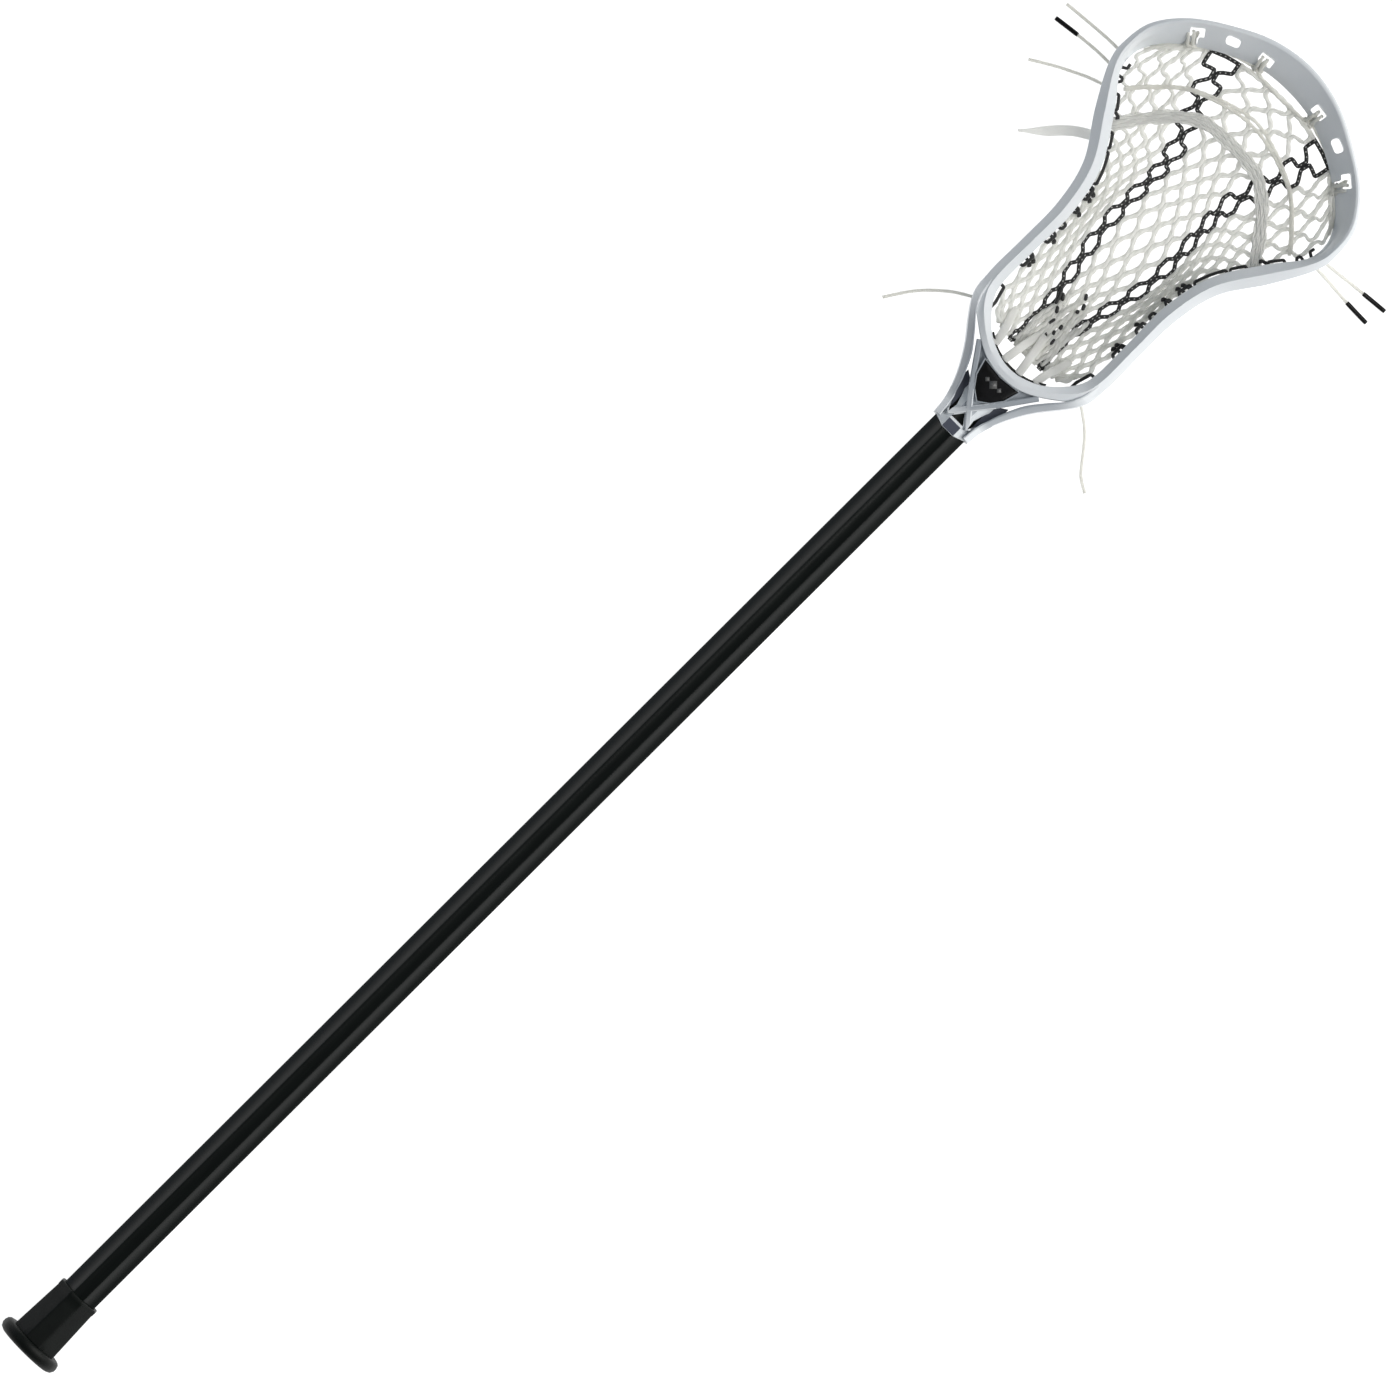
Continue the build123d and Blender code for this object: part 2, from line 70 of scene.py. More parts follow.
# The head's wall on the +X side, from the ball stop's middle to the scoop's tip:
# outer edge x and y, inner edge x and y, highest level, lowest level.
WALL = [
    (0, 771.6, 0, 778.2, 18, -17.5),
    (15, 774.2, 12.4, 780.8, 18, -17.6),
    (30.5, 783.8, 23.9, 787.8, 17.6, -18),
    (42, 794.5, 33.7, 799.6, 16.8, -18.8),
    (46.4, 808.5, 36.8, 811.5, 15.6, -19.6),
    (46.4, 836, 36.9, 836, 13.2, -20),
    (47, 864, 36.9, 865, 11.6, -20),
    (53.2, 890.2, 43.4, 894.2, 11, -19.6),
    (69.4, 915.2, 59.6, 920.6, 12, -17),
    (82.2, 939, 72.4, 938.6, 14, -13),
    (84.4, 954, 75.8, 951.5, 16.4, -9),
    (80.8, 971, 71.6, 963.4, 19.4, -4.2),
    (67.6, 987.2, 57.8, 977, 23, 0.8),
    (47.5, 1000.9, 39.8, 988.2, 26, 4.8),
    (24.8, 1011.6, 20.6, 996, 28.2, 7.2),
    (0, 1015.6, 0, 998.3, 29, 8),
]
LEAN_START, LEAN_END = 8, 12  # rows between which the upright wall turns into the scoop's blade

# The pocket's sections: y, half width, level of its edge, level of its middle.
POCKET = [
    (794, 20, -9, -11.5),
    (800, 28.5, -11.5, -14.5),
    (811, 33, -13.5, -17.5),
    (836, 33.3, -15, -18.6),
    (865, 33.5, -15.5, -18.6),
    (893, 39.2, -15, -18.6),
    (918, 53.4, -12, -18),
    (936, 66, -8.5, -16),
    (948, 71, -5, -12.5),
    (958, 69.6, -2.8, -8.5),
    (970, 60.6, -0.5, -4.6),
    (980, 48.4, 1.5, -1),
    (988.5, 32.6, 3.2, 2.2),
    (993.8, 17, 4.4, 4),
]
POCKET_BELLY = 2.2

# Rows of the knitted mesh, from the throat to the scoop: row, y at its middle, y and half width at the
# black stripes, half width of a stripe's hole, how far its middle lies to the right, y and half width
# at its edge.
NET = [
    (-2, 790.5, 790.5, 11.6, 2.2, 0.4, 794, 24),
    (-1, 794.4, 794.4, 11.5, 2.2, 0.4, 797.5, 28),
    (1, 808.3, 808.3, 10.8, 2.3, 0.4, 808.3, 34),
    (3, 824, 824.5, 11.9, 3.3, 0.7, 825, 35.2),
    (5, 841.8, 842.7, 15, 4.2, 1.8, 843, 35.8),
    (7, 860.8, 861.7, 18.9, 4.5, 2.4, 860.8, 36.4),
    (9, 883.7, 882.1, 21, 4.5, 2.1, 878.2, 37.8),
    (11, 905, 900.2, 20.7, 4.5, 1.7, 890.5, 41.6),
    (13, 921.7, 917.3, 20.1, 4.7, 1.1, 903.3, 47.2),
    (15, 938.5, 931.2, 21.4, 5.5, 0.3, 912.8, 53.2),
    (17, 956.9, 949.7, 27.9, 6.5, 0, 924.5, 61.8),
    (19, 976.5, 967.8, 33.5, 7.2, 0.3, 939.6, 71.4),
    (21, 990.5, 983.6, 37.5, 9.2, 0.3, 955.8, 74.6),
    (22, 997, 994, 39.4, 9.2, 0.3, 971.8, 67),
]
FIRST_ROW = -2
LAST_ROW = 21.42
EDGE_COLUMN = 5.5  # columns of holes from the middle to the mesh's edge
STRIPE_IN, STRIPE_COLUMN, STRIPE_OUT = 1.5, 2, 2.5  # columns of a black stripe's edges and middle
STRIPE_STRANDS = (-5, -4, 3, 4)

STRING_WIDTH = 1.9
LYING = FLOOR + STRING_WIDTH / 2 + 0.05  # level of the middle of a string that lies on the floor

UP = np.array((0.0, 0.0, 1.0))
SIDES = (1, -1)


# ---- numbers and lines ----
def smooth(t):
    """Goes from 0 to 1 as t does, with level ends."""
    t = min(1, max(0, t))
    return t * t * (3 - 2 * t)


def along_table(table, at):
    """Smooth values at a place, from rows that start with their own place in rising order."""
    rows = np.array(table, float)
    place, values = rows[:, 0], rows[:, 1:]
    slopes = np.gradient(values, place, axis=0)
    i = int(np.clip(np.searchsorted(place, at) - 1, 0, len(place) - 2))
    span = place[i + 1] - place[i]
    t = min(1, max(0, (at - place[i]) / span))
    keep, bend = 2 * t**3 - 3 * t**2 + 1, t**3 - 2 * t**2 + t
    enter, leave = -2 * t**3 + 3 * t**2, t**3 - t**2
    return keep * values[i] + bend * span * slopes[i] + enter * values[i + 1] + leave * span * slopes[i + 1]


def rounded_line(points, steps, closed=False):
    """Catmull-Rom curve through the points, with that many steps from each to the next."""
    p = np.array(points, float)
    if closed:
        padded = [p[-1], *p, p[0], p[1]]
    else:
        padded = [2 * p[0] - p[1], *p, 2 * p[-1] - p[-2]]
    out = []
    for a, b, c, d in zip(padded, padded[1:], padded[2:], padded[3:]):
        square, cube = 2 * a - 5 * b + 4 * c - d, 3 * b - a - 3 * c + d
        for t in np.arange(steps) / steps:
            out.append(0.5 * (2 * b + (c - a) * t + square * t**2 + cube * t**3))
    return np.array(out if closed else [*out, p[-1]])


def reach_along(points):
    """How far along the line each point is."""
    return np.concatenate([[0], np.cumsum(np.linalg.norm(np.diff(points, axis=0), axis=1))])


def evenly(points, gap=0.5):
    """The same line with points that far apart."""
    p = np.array(points, float)
    reach = reach_along(p)
    count = max(2, int(round(reach[-1] / gap)) + 1)
    at = np.linspace(0, reach[-1], count)
    return np.stack([np.interp(at, reach, p[:, k]) for k in range(p.shape[1])], axis=1)


def pocket_level(x, y):
    """Level of the middle of the mesh's thickness."""
    half_width, edge, middle = along_table(POCKET, y)
    share = min(1, abs(x) / half_width)
    return middle + (edge - middle) * share**POCKET_BELLY


def over_pocket(points, lift):
    return [(x, y, pocket_level(x, y) + lift) for x, y in points]


def on_side(side, points):
    """The points of the head's right side as they are for 1, and mirrored to the left for -1."""
    return [(side * x, *rest) for x, *rest in points]


def symmetric(half, middle):
    """A line over both halves of the head, from its right half and its middle point."""
    return on_side(-1, reversed(half)) + [middle] + half


def corner_arc(start, corner, end, steps):
    """Points of a rounded corner."""
    shares = [step / steps for step in range(steps + 1)]
    return [corner * (2 * t * (1 - t)) + start * (1 - t)**2 + end * t**2 for t in shares]


# ---- meshes ----
def new_object(name, data):
    obj = bpy.data.objects.new(name, data)
    bpy.context.scene.collection.objects.link(obj)
    return obj


def mesh_object(name, points, faces):
    mesh = bpy.data.meshes.new(name)
    mesh.from_pydata([tuple(c * MM for c in p) for p in points], [], faces)
    mesh.validate()
    mesh.update()
    mesh.shade_smooth()
    return new_object(name, mesh)


def remove(obj):
    data = obj.data
    bpy.data.objects.remove(obj)
    bpy.data.meshes.remove(data)


def evaluated_mesh(obj):
    """A new mesh of what the object's modifiers or curve settings make of it."""
    bpy.context.view_layer.update()
    return bpy.data.meshes.new_from_object(obj.evaluated_get(bpy.context.evaluated_depsgraph_get()))


def joined(name, objects):
    """One object that holds the meshes of all of these."""
    bm = bmesh.new()
    for obj in objects:
        bm.from_mesh(obj.data)
    mesh = bpy.data.meshes.new(name)
    bm.to_mesh(mesh)
    bm.free()
    for obj in objects:
        remove(obj)
    return new_object(name, mesh)


def combine(obj, tool, operation):
    """Adds the tool's volume to the object or takes it away."""
    modifier = obj.modifiers.new("combine", "BOOLEAN")
    modifier.operation = operation
    modifier.solver = "MANIFOLD"
    modifier.object = tool
    old = obj.data
    mesh = evaluated_mesh(obj)
    mesh.shade_smooth()
    obj.modifiers.clear()
    obj.data = mesh
    bpy.data.meshes.remove(old)
    remove(tool)


def crisp(obj, angle):
    """Keeps edges sharper than this angle, in degrees, as edges."""
    obj.data.set_sharp_from_angle(angle=radians(angle))
    return obj


def outward(obj):
    """Turns all the faces to the outside."""
    bm = bmesh.new()
    bm.from_mesh(obj.data)
    bmesh.ops.recalc_face_normals(bm, faces=bm.faces)
    bm.to_mesh(obj.data)
    bm.free()
    return obj


def bridge_rings(rings, closed_loop=False):
    """Points and faces of a skin over rings that all have the same number of points."""
    count = len(rings[0])
    points = [tuple(p) for ring in rings for p in ring]
    faces = []
    for i in range(len(rings) if closed_loop else len(rings) - 1):
        j = (i + 1) % len(rings)
        for k in range(count):
            n = (k + 1) % count
            faces.append((i * count + k, i * count + n, j * count + n, j * count + k))
    if not closed_loop:
        faces.append(tuple(reversed(range(count))))
        faces.append(tuple(range(len(points) - count, len(points))))
    return points, faces


def skin(name, rings, closed_loop=False):
    """An object whose surface runs over the rings, with flat ends unless they close into a loop."""
    return outward(mesh_object(name, *bridge_rings(rings, closed_loop)))


def prism(name, outline, low, high):
    """A plan outline raised from one level to another."""
    return skin(name, [[(x, y, z) for x, y in outline] for z in (low, high)])


def side_prisms(name, outline, low, high):
    """The same prism on both sides of the head."""
    return [prism(name, on_side(side, outline), low, high) for side in SIDES]


def tangents(line):
    t = np.gradient(line, axis=0)
    return t / np.linalg.norm(t, axis=1)[:, None]


def carried_frames(line):
    """Two directions across the line at each point, turned as little as possible along it."""
    t = tangents(line)
    side = np.cross(t[0], UP)
    sides = []
    for tangent in t:
        side = side - tangent * side.dot(tangent)
        side /= np.linalg.norm(side)
        sides.append(side)
    sides = np.array(sides)
    return sides, np.cross(sides, t)


def level_frames(line):
    """Two directions across the line, the second as close to up as it can be."""
    t = tangents(line)
    sides = np.cross(t, UP)
    sides /= np.linalg.norm(sides, axis=1)[:, None]
    return sides, np.cross(sides, t)


def strand_rings(line, width, height, sides, lobes=0, depth=0, pitch=3, level=False, end_share=None):
    """Rings round a line: an oval that may be lobed and twisted, as the plies of a string are."""
    line = np.array(line, float)
    across, over = (level_frames if level else carried_frames)(line)
    reach = reach_along(line)
    angles = np.linspace(0, 2 * pi, sides, endpoint=False)
    rings, twists = [], []
    for k, point in enumerate(line):
        twist = np.cos(lobes * angles - 2 * pi * reach[k] / pitch) if lobes else np.zeros(sides)
        size = 1 + depth * twist
        if end_share is not None:
            size = size * end_share(reach[k] / reach[-1])
        wide, high = np.cos(angles) * size * width / 2, np.sin(angles) * size * height / 2
        rings.append(point + across[k] * wide[:, None] + over[k] * high[:, None])
        twists.append(twist)
    return rings, twists, reach


def strands(name, lines, width, height, sides=8, dye=None, **look):
    """One object with a tube along each line, and UVs that run along and round it."""
    points, faces, uvs, ply = [], [], [], []
    for line in lines:
        rings, twists, reach = strand_rings(line, width, height, sides, **look)
        if dye:
            twists = [[dye(r, 2 * pi * j / sides) for j in range(sides)] for r in reach]
        first = len(points)
        ring_points, ring_faces = bridge_rings(rings)
        points += ring_points
        faces += [tuple(first + v for v in face) for face in ring_faces]
        ply += list(np.ravel(twists))
        uvs += [(r * MM, j / sides) for r in reach for j in range(sides)]
    obj = outward(mesh_object(name, points, faces))
    layer = obj.data.uv_layers.new(name="along")
    for loop in obj.data.loops:
        layer.data[loop.index].uv = uvs[loop.vertex_index]
    obj.data.attributes.new("ply", "FLOAT", "POINT").data.foreach_set("value", np.array(ply, np.float32))
    return obj


def nurbs_line(points):
    """The smooth line of a NURBS spline with these control points."""
    curve = bpy.data.curves.new("route", "CURVE")
    curve.dimensions = "3D"
    spline = curve.splines.new("NURBS")
    spline.points.add(len(points) - 1)
    for control, (x, y, z) in zip(spline.points, points):
        control.co = (x, y, z, 1)
    spline.order_u = 3
    spline.use_endpoint_u = True
    spline.resolution_u = 24
    obj = new_object("route", curve)
    mesh = evaluated_mesh(obj)
    line = np.array([v.co for v in mesh.vertices], float)
    bpy.data.meshes.remove(mesh)
    bpy.data.objects.remove(obj)
    bpy.data.curves.remove(curve)
    return line


# ---- materials ----
class Look:
    """A material and short ways to add nodes to it."""

    def __init__(self, name, colour, roughness, **sockets):
        self.material = bpy.data.materials.new(name)
        self.material.use_nodes = True
        self.tree = self.material.node_tree
        self.shader = self.tree.nodes["Principled BSDF"]
        values = {"Base Color": (*colour, 1), "Roughness": roughness, **sockets}
        for socket, value in values.items():
            self.shader.inputs[socket.replace("_", " ")].default_value = value

    def node(self, kind, inputs=None, **settings):
        node = self.tree.nodes.new("ShaderNode" + kind)
        for key, value in settings.items():
            setattr(node, key, value)
        for socket, value in (inputs or {}).items():
            if isinstance(value, bpy.types.NodeSocket):
                self.tree.links.new(value, node.inputs[socket])
            else:
                node.inputs[socket].default_value = value
        return node

    def link(self, output, socket):
        self.tree.links.new(output, self.shader.inputs[socket])

    def place(self):
        return self.node("TexCoord").outputs["Object"]

    def stretched(self, place, scale):
        return self.node("Mapping", {"Vector": place, "Scale": scale}).outputs["Vector"]

    def along(self, scale):
        """Coordinates along and round a strand."""
        return self.stretched(self.node("UVMap", uv_map="along").outputs["UV"], scale)

    def maths(self, operation, *values):
        return self.node("Math", dict(enumerate(values)), operation=operation).outputs["Value"]

    def noise(self, scale, detail=4):
        inputs = {"Vector": self.place(), "Scale": scale, "Detail": detail, "Roughness": 0.55}
        return self.node("TexNoise", inputs).outputs["Fac"]

    def attribute(self, name):
        return self.node("Attribute", attribute_name=name).outputs["Fac"]

    def ramp(self, value, stops):
        node = self.node("ValToRGB", {"Fac": value})
        elements = node.color_ramp.elements
        elements[0].position, elements[0].color = stops[0][0], (*stops[0][1], 1)
        elements[1].position, elements[1].color = stops[-1][0], (*stops[-1][1], 1)
        for position, colour in stops[1:-1]:
            elements.new(position).color = (*colour, 1)
        return node.outputs["Color"]

    def bump(self, height, strength, distance, under=None):
        inputs = {"Height": height, "Strength": strength, "Distance": distance}
        if under is not None:
            inputs["Normal"] = under
        return self.node("Bump", inputs).outputs["Normal"]

    def colour(self, value, stops):
        """Colours the surface by a value, with stops that are pairs of position and colour."""
        self.link(self.ramp(value, stops), "Base Color")

    def roughen(self, scale, low, high):
        """Lets the roughness vary between two values."""
        inputs = {"Value": self.noise(scale), "To Min": low, "To Max": high}
        self.link(self.node("MapRange", inputs).outputs["Result"], "Roughness")

    def emboss(self, height, strength, distance, under=None):
        """Gives the surface fine relief."""
        self.link(self.bump(height, strength, distance, under), "Normal")

    def let_light_through(self, colour):
        """Half of what falls on the far side shines through, as it does in string."""
        through = self.node("BsdfTranslucent", {"Color": (*colour, 1)}).outputs["BSDF"]
        mixed = self.node("MixShader", {0: 0.5, 1: self.shader.outputs["BSDF"], 2: through}).outputs["Shader"]
        self.tree.links.new(mixed, self.tree.nodes["Material Output"].inputs["Surface"])


def grey(value):
    return (value, value, value)


def head_plastic(name, light, dark):
    """Moulded plastic, darkened by painted shade where the mesh's attribute for it says so."""
    look = Look(name, light, 0.34)
    cloudy = look.ramp(look.noise(26), [(0.3, dark), (0.7, light)])
    # A dark grey of painted shade for the throat's flat tops and outer slopes.
    satin = (0.33, 0.36, 0.395, 1)
    # Sockets 0, 6 and 7 of a Mix node are its factor and its two colours, and output 2 its colour.
    inputs = {0: look.attribute("satin"), 6: cloudy, 7: satin}
    look.link(look.node("Mix", inputs, data_type="RGBA").outputs[2], "Base Color")
    look.roughen(320, 0.27, 0.42)
    rounded = look.node("Bevel", {"Radius": 0.0005}, samples=4).outputs["Normal"]
    look.emboss(look.noise(900), 0.05, 0.0002, rounded)
    return look.material


def shaft_metal():
    """Dark metal, brushed along the shaft."""
    look = Look("shaft_metal", (0.0015, 0.003, 0.0022), 0.3, Specular_IOR_Level=0.26)
    inputs = {"Vector": look.stretched(look.place(), (1, 0.06, 1)), "Scale": 900, "Detail": 3}
    brushed = look.node("TexNoise", inputs).outputs["Fac"]
    look.colour(brushed, [(0.3, (0.0010, 0.0022, 0.0016)), (0.75, (0.0024, 0.0044, 0.0034))])
    look.roughen(60, 0.24, 0.34)
    look.emboss(brushed, 0.05, 0.0002)
    return look.material


def cap_rubber():
    look = Look("cap_rubber", (0.003, 0.0045, 0.0035), 0.5, Specular_IOR_Level=0.2)
    look.colour(look.noise(90), [(0.3, (0.0010, 0.0020, 0.0014)), (0.7, (0.0030, 0.0050, 0.0038))])
    look.roughen(150, 0.42, 0.62)
    look.emboss(look.noise(700, 6), 0.25, 0.0002)
    return look.material


def dark_plastic(name, roughness):
    look = Look(name, grey(0.005), roughness, Specular_IOR_Level=0.2)
    look.colour(look.noise(120), [(0.35, grey(0.004)), (0.65, (0.008, 0.008, 0.009))])
    look.emboss(look.noise(800), 0.1, 0.0001)
    return look.material


def foam():
    look = Look("pad_foam", grey(0.012), 0.85)
    look.colour(look.noise(300), [(0.3, grey(0.008)), (0.7, grey(0.022))])
    cells = look.node("TexVoronoi", {"Vector": look.place(), "Scale": 1600}).outputs["Distance"]
    look.emboss(cells, 0.4, 0.0003)
    return look.material


def screw_steel():
    look = Look("screw_steel", (0.55, 0.55, 0.57), 0.3, Metallic=1)
    look.roughen(500, 0.22, 0.42)
    return look.material


def braided(name, light, dark):
    """String whose fibres cross: two slanted waves along and round it, with painted shade that darkens the
    grooves between them.
    """
    look = Look(name, light, 0.62, Sheen_Weight=0.25, Sheen_Roughness=0.5)
    waves = []
    for lean in (2, -2):
        turned = look.node("SeparateXYZ", {"Vector": look.along((1400, lean, 1))}).outputs
        turns = look.maths("ADD", turned["X"], turned["Y"])
        waves.append(look.maths("SINE", look.maths("MULTIPLY", turns, 2 * pi)))
    cross = look.maths("MAXIMUM", *waves)
    # Painted shade: the grooves between the waves are darker.
    look.colour(cross, [(0.2, dark), (0.75, light)])
    look.emboss(cross, 0.35, 0.0003)
    if light[0] > 0.5:
        look.let_light_through((0.96, 0.96, 0.92))
    return look.material


def net_white():
    """Twisted strands, with painted shade that darkens the grooves between their plies."""
    look = Look("net_white", (0.88, 0.88, 0.86), 0.6, Sheen_Weight=0.15)
    ply = look.maths("MULTIPLY_ADD", look.attribute("ply"), 0.5, 0.5)
    # Painted shade: the grooves between the plies are darker.
    look.colour(ply, [(0, (0.68, 0.68, 0.65)), (0.4, (0.84, 0.84, 0.82)), (1, (0.90, 0.90, 0.88))])
    look.emboss(look.noise(2600), 0.3, 0.0002)
    look.let_light_through((0.96, 0.96, 0.93))
    return look.material


def net_black():
    """Black strands with the white dashes that their dye leaves."""
    look = Look("net_black", grey(0.02), 0.62, Sheen_Weight=0.15)
    look.colour(look.attribute("ply"), [(0.4, grey(0.012)), (0.5, grey(0.05)), (0.6, (0.45, 0.45, 0.43))])
    look.emboss(look.noise(2600), 0.3, 0.0002)
    return look.material


def woven_lace(name, colour, dark):
    """Flat lace: ribs across it with a fluffy surface, and painted shade that darkens the grooves between the
    ribs.
    """
    look = Look(name, colour, 0.8, Sheen_Weight=0.5, Sheen_Roughness=0.6)
    inputs = {"Vector": look.along((420, 14, 1)), "Scale": 1, "Distortion": 2.5, "Detail": 2,
              "Detail Scale": 3}
    ribs = look.node("TexWave", inputs).outputs["Fac"]
    # Painted shade: the grooves between the ribs are darker.
    look.colour(ribs, [(0.15, dark), (0.6, colour)])
    look.emboss(ribs, 0.3, 0.0004, look.bump(look.noise(1900, 5), 0.5, 0.0004))
    look.let_light_through((0.97, 0.97, 0.95))
    return look.material


# ---- studio ----
def make_camera():
    """Looks straight down on the stick, which crosses the picture from lower left to upper right."""
    view_width = 0.7796
    lens, sensor = 250, 36
    roll = radians(45.1)
    centre = (cad_low + cad_high) / 2 + Vector((0.0013, 0.0199, 0))
    centre.z = 0
    data = bpy.data.cameras.new("camera")
    data.lens = lens
    data.sensor_width = sensor
    data.clip_end = 100
    camera = new_object("camera", data)
    camera.location = centre + Vector((0, 0, view_width * lens / sensor))
    camera.rotation_euler = (0, 0, roll)
    bpy.context.scene.camera = camera


def area_light(name, place, size, power, colour):
    data = bpy.data.lights.new(name, "AREA")
    data.shape = "RECTANGLE"
    data.size, data.size_y = size
    data.energy = power
    data.color = colour
    light = new_object(name, data)
    light.location = place
    aim = Vector((0, 0.62, 0)) - Vector(place)
    light.rotation_euler = aim.to_track_quat("-Z", "Y").to_euler()


def make_studio():
    area_light("key", (1.5, 1.7, 1.9), (2, 2.4), 68, (1, 0.99, 0.97))
    area_light("fill", (-2.3, 0.3, 1.2), (1.6, 2.2), 4.5, (0.66, 0.83, 1))
    world = bpy.data.worlds.new("studio")
    world.use_nodes = True
    background = world.node_tree.nodes["Background"]
    background.inputs["Color"].default_value = (0.90, 0.94, 1, 1)
    background.inputs["Strength"].default_value = 0.19
    bpy.context.scene.world = world
    reach, gap = 30000, 0.2
    corners = [(-reach, -reach, 0), (reach, -reach, 0), (reach, reach, 0), (-reach, reach, 0)]
    floor = mesh_object("floor", corners, [(0, 1, 2, 3)])
    floor.location.z = (FLOOR - gap) * MM
    look = Look("floor_white", grey(0.3), 0.9, Emission_Color=(1, 1, 1, 1), Emission_Strength=1)
    floor.data.materials.append(look.material)
    bpy.context.scene.view_settings.view_transform = "Standard"


def finished(obj, material, node, body="stick"):
    """Gives a piece its material and its place on the part."""
    obj.data.materials.clear()
    obj.data.materials.append(material)
    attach(obj, body)
    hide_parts(node)


# ---- free string ends ----
TAILS = {
    "top_string_tail_left": [
        (-79, 948.6, -1.5), (-89, 948.9, -4.2), (-101, 948.8, -13.5), (-111.5, 948.3, LYING + 0.8),
        (-122.4, 947.3, LYING)],
    "sidewall_tail_upper_left": [
        (-79, 939.6, -4), (-88.5, 940, -6.5), (-99, 939.8, -15), (-109.5, 938.9, -18.2),
        (-121.4, 937.3, -18.6)],
    "sidewall_tail_lower_left": [
        (-72, 930, -5.5), (-82, 927.2, -8), (-92.5, 922.9, -16.2), (-103.8, 917.4, LYING + 0.3),
        (-115.6, 910.1, LYING)],
    "bottom_string_tail_left": [
        (-40.5, 794.6, -8), (-50, 789.6, -10), (-58.9, 783, -16.6), (-67.6, 774.4, LYING + 0.3),
        (-73.6, 766, LYING), (-78.8, 757.6, LYING)],
    "bottom_string_tail_right": [
        (41, 794.2, -8), (51.5, 787.8, -10.4), (59.5, 779.8, -16.8), (66.4, 771, LYING + 0.3),
        (72.2, 764, LYING), (79.6, 760.4, LYING)],
    "top_string_tail_right": [
        (79.5, 945.6, -1.8), (89.5, 946.8, -4.6), (101.5, 949, -14.4), (113, 950.6, -18.2),
        (126.2, 951.8, -18.6)],
    "sidewall_tail_right": [
        (79.5, 940.6, -4.6), (89, 940.6, -7.2), (99.5, 940.4, -15.4), (110.5, 940, -18.2),
        (123.4, 939.8, -18.6)],
}
TIPPED_TAILS = ("sidewall_tail_upper_left", "top_string_tail_right", "sidewall_tail_right")
TIP_LENGTH = 16.5
TIP_WIDTH = 2.7
LACE_TAIL = [(-58, 905.4, -7), (-66.2, 901.4, -8.6), (-74.6, 894.6, -15.2), (-81.8, 886.6, FLOOR + 1.2),
             (-91.4, 877.8, FLOOR + 0.8)]
LACE_TAIL_WIDTH = 6


def tip_share(s):
    """A tip's thickness along it, with rounded ends."""
    return 0.86 + 0.14 * sqrt(max(0, 1 - abs(2 * s - 1)**8))


def make_tails(string, lace, tip):
    gap = 0.5
    for name, points in TAILS.items():
        line = evenly(nurbs_line(points), gap)
        tail = strands(name + "_cord", [line], STRING_WIDTH, STRING_WIDTH, 14, lobes=6, depth=0.04,
                       pitch=9)
        finished(tail, string, name)
        sleeves = []
        if name in TIPPED_TAILS:
            node = name.replace("tail", "tip")
            end = line[-int(TIP_LENGTH / gap):]
            sleeves = [strands(node + "_sleeve", [end], TIP_WIDTH, TIP_WIDTH, 16, end_share=tip_share)]
            finished(sleeves[0], tip, node)
    line = evenly(nurbs_line(LACE_TAIL), gap)
    tail = strands("shooting_lace_tail_cord", [line], LACE_TAIL_WIDTH, 1.5, 20, level=True,
                   end_share=lambda s: 1 - 0.7 * smooth((s - 0.6) / 0.4))
    finished(tail, lace, "shooting_lace_tail")


# ---- shaft and end cap ----
def octagon_ring(width, depth, front, y, corner_round, hollow=0):
    """Section of the shaft with rounded corners, and facets that dip in their middle."""
    drop = (width - front) / 2
    quarter = [(front / 2, depth / 2), (width / 2, depth / 2 - drop)]
    right = quarter + [(x, -z) for x, z in reversed(quarter)]
    corners = [Vector(c) for c in right + [(-x, -z) for x, z in right]]
    ring = []
    for i, corner in enumerate(corners):
        before, after = corners[i - 1], corners[(i + 1) % 8]
        back, ahead = (before - corner).normalized(), (after - corner).normalized()
        turn = pi - back.angle(ahead)
        reach = corner_round * tan(turn / 2)
        end = corner + ahead * reach
        ring += corner_arc(corner + back * reach, corner, end, 6)
        next_start = after - ahead * reach
        inwards = -((corner + after) / 2).normalized()
        for t in (0.2, 0.35, 0.5, 0.65, 0.8):
            ring.append(end.lerp(next_start, t) + inwards * hollow * 4 * t * (1 - t))
    return [(p.x, y, p.y) for p in ring]


def grown(growth):
    """Width, depth and front facet of an octagon that far outside the shaft's."""
    return SHAFT_WIDTH + 2 * growth, SHAFT_DEPTH + 2 * growth, SHAFT_FRONT_FACET + FACET_GROWTH * growth


def octagon_rings(sections, corner_round):
    return [octagon_ring(*grown(growth), y, corner_round) for y, growth in sections]


def make_shaft(material):
    """Tube with slightly hollow facets and bevelled ends."""
    start, end = SHAFT_LOW.y / MM, SHAFT_HIGH.y / MM
    wall, bevel, hollow = 1.6, 0.3, 0.4
    rings = [octagon_ring(*grown(-bevel), start, 0.6, hollow)]
    for y in (start + bevel, *np.linspace(start + 10, end - 10, 24), end - bevel):
        rings.append(octagon_ring(*grown(0), y, 0.7, hollow))
    rings.append(octagon_ring(*grown(-bevel), end, 0.6, hollow))
    rings += octagon_rings([(end, -wall), (start, -wall)], 1)
    finished(skin("shaft_tube", rings, closed_loop=True), material, "shaft")


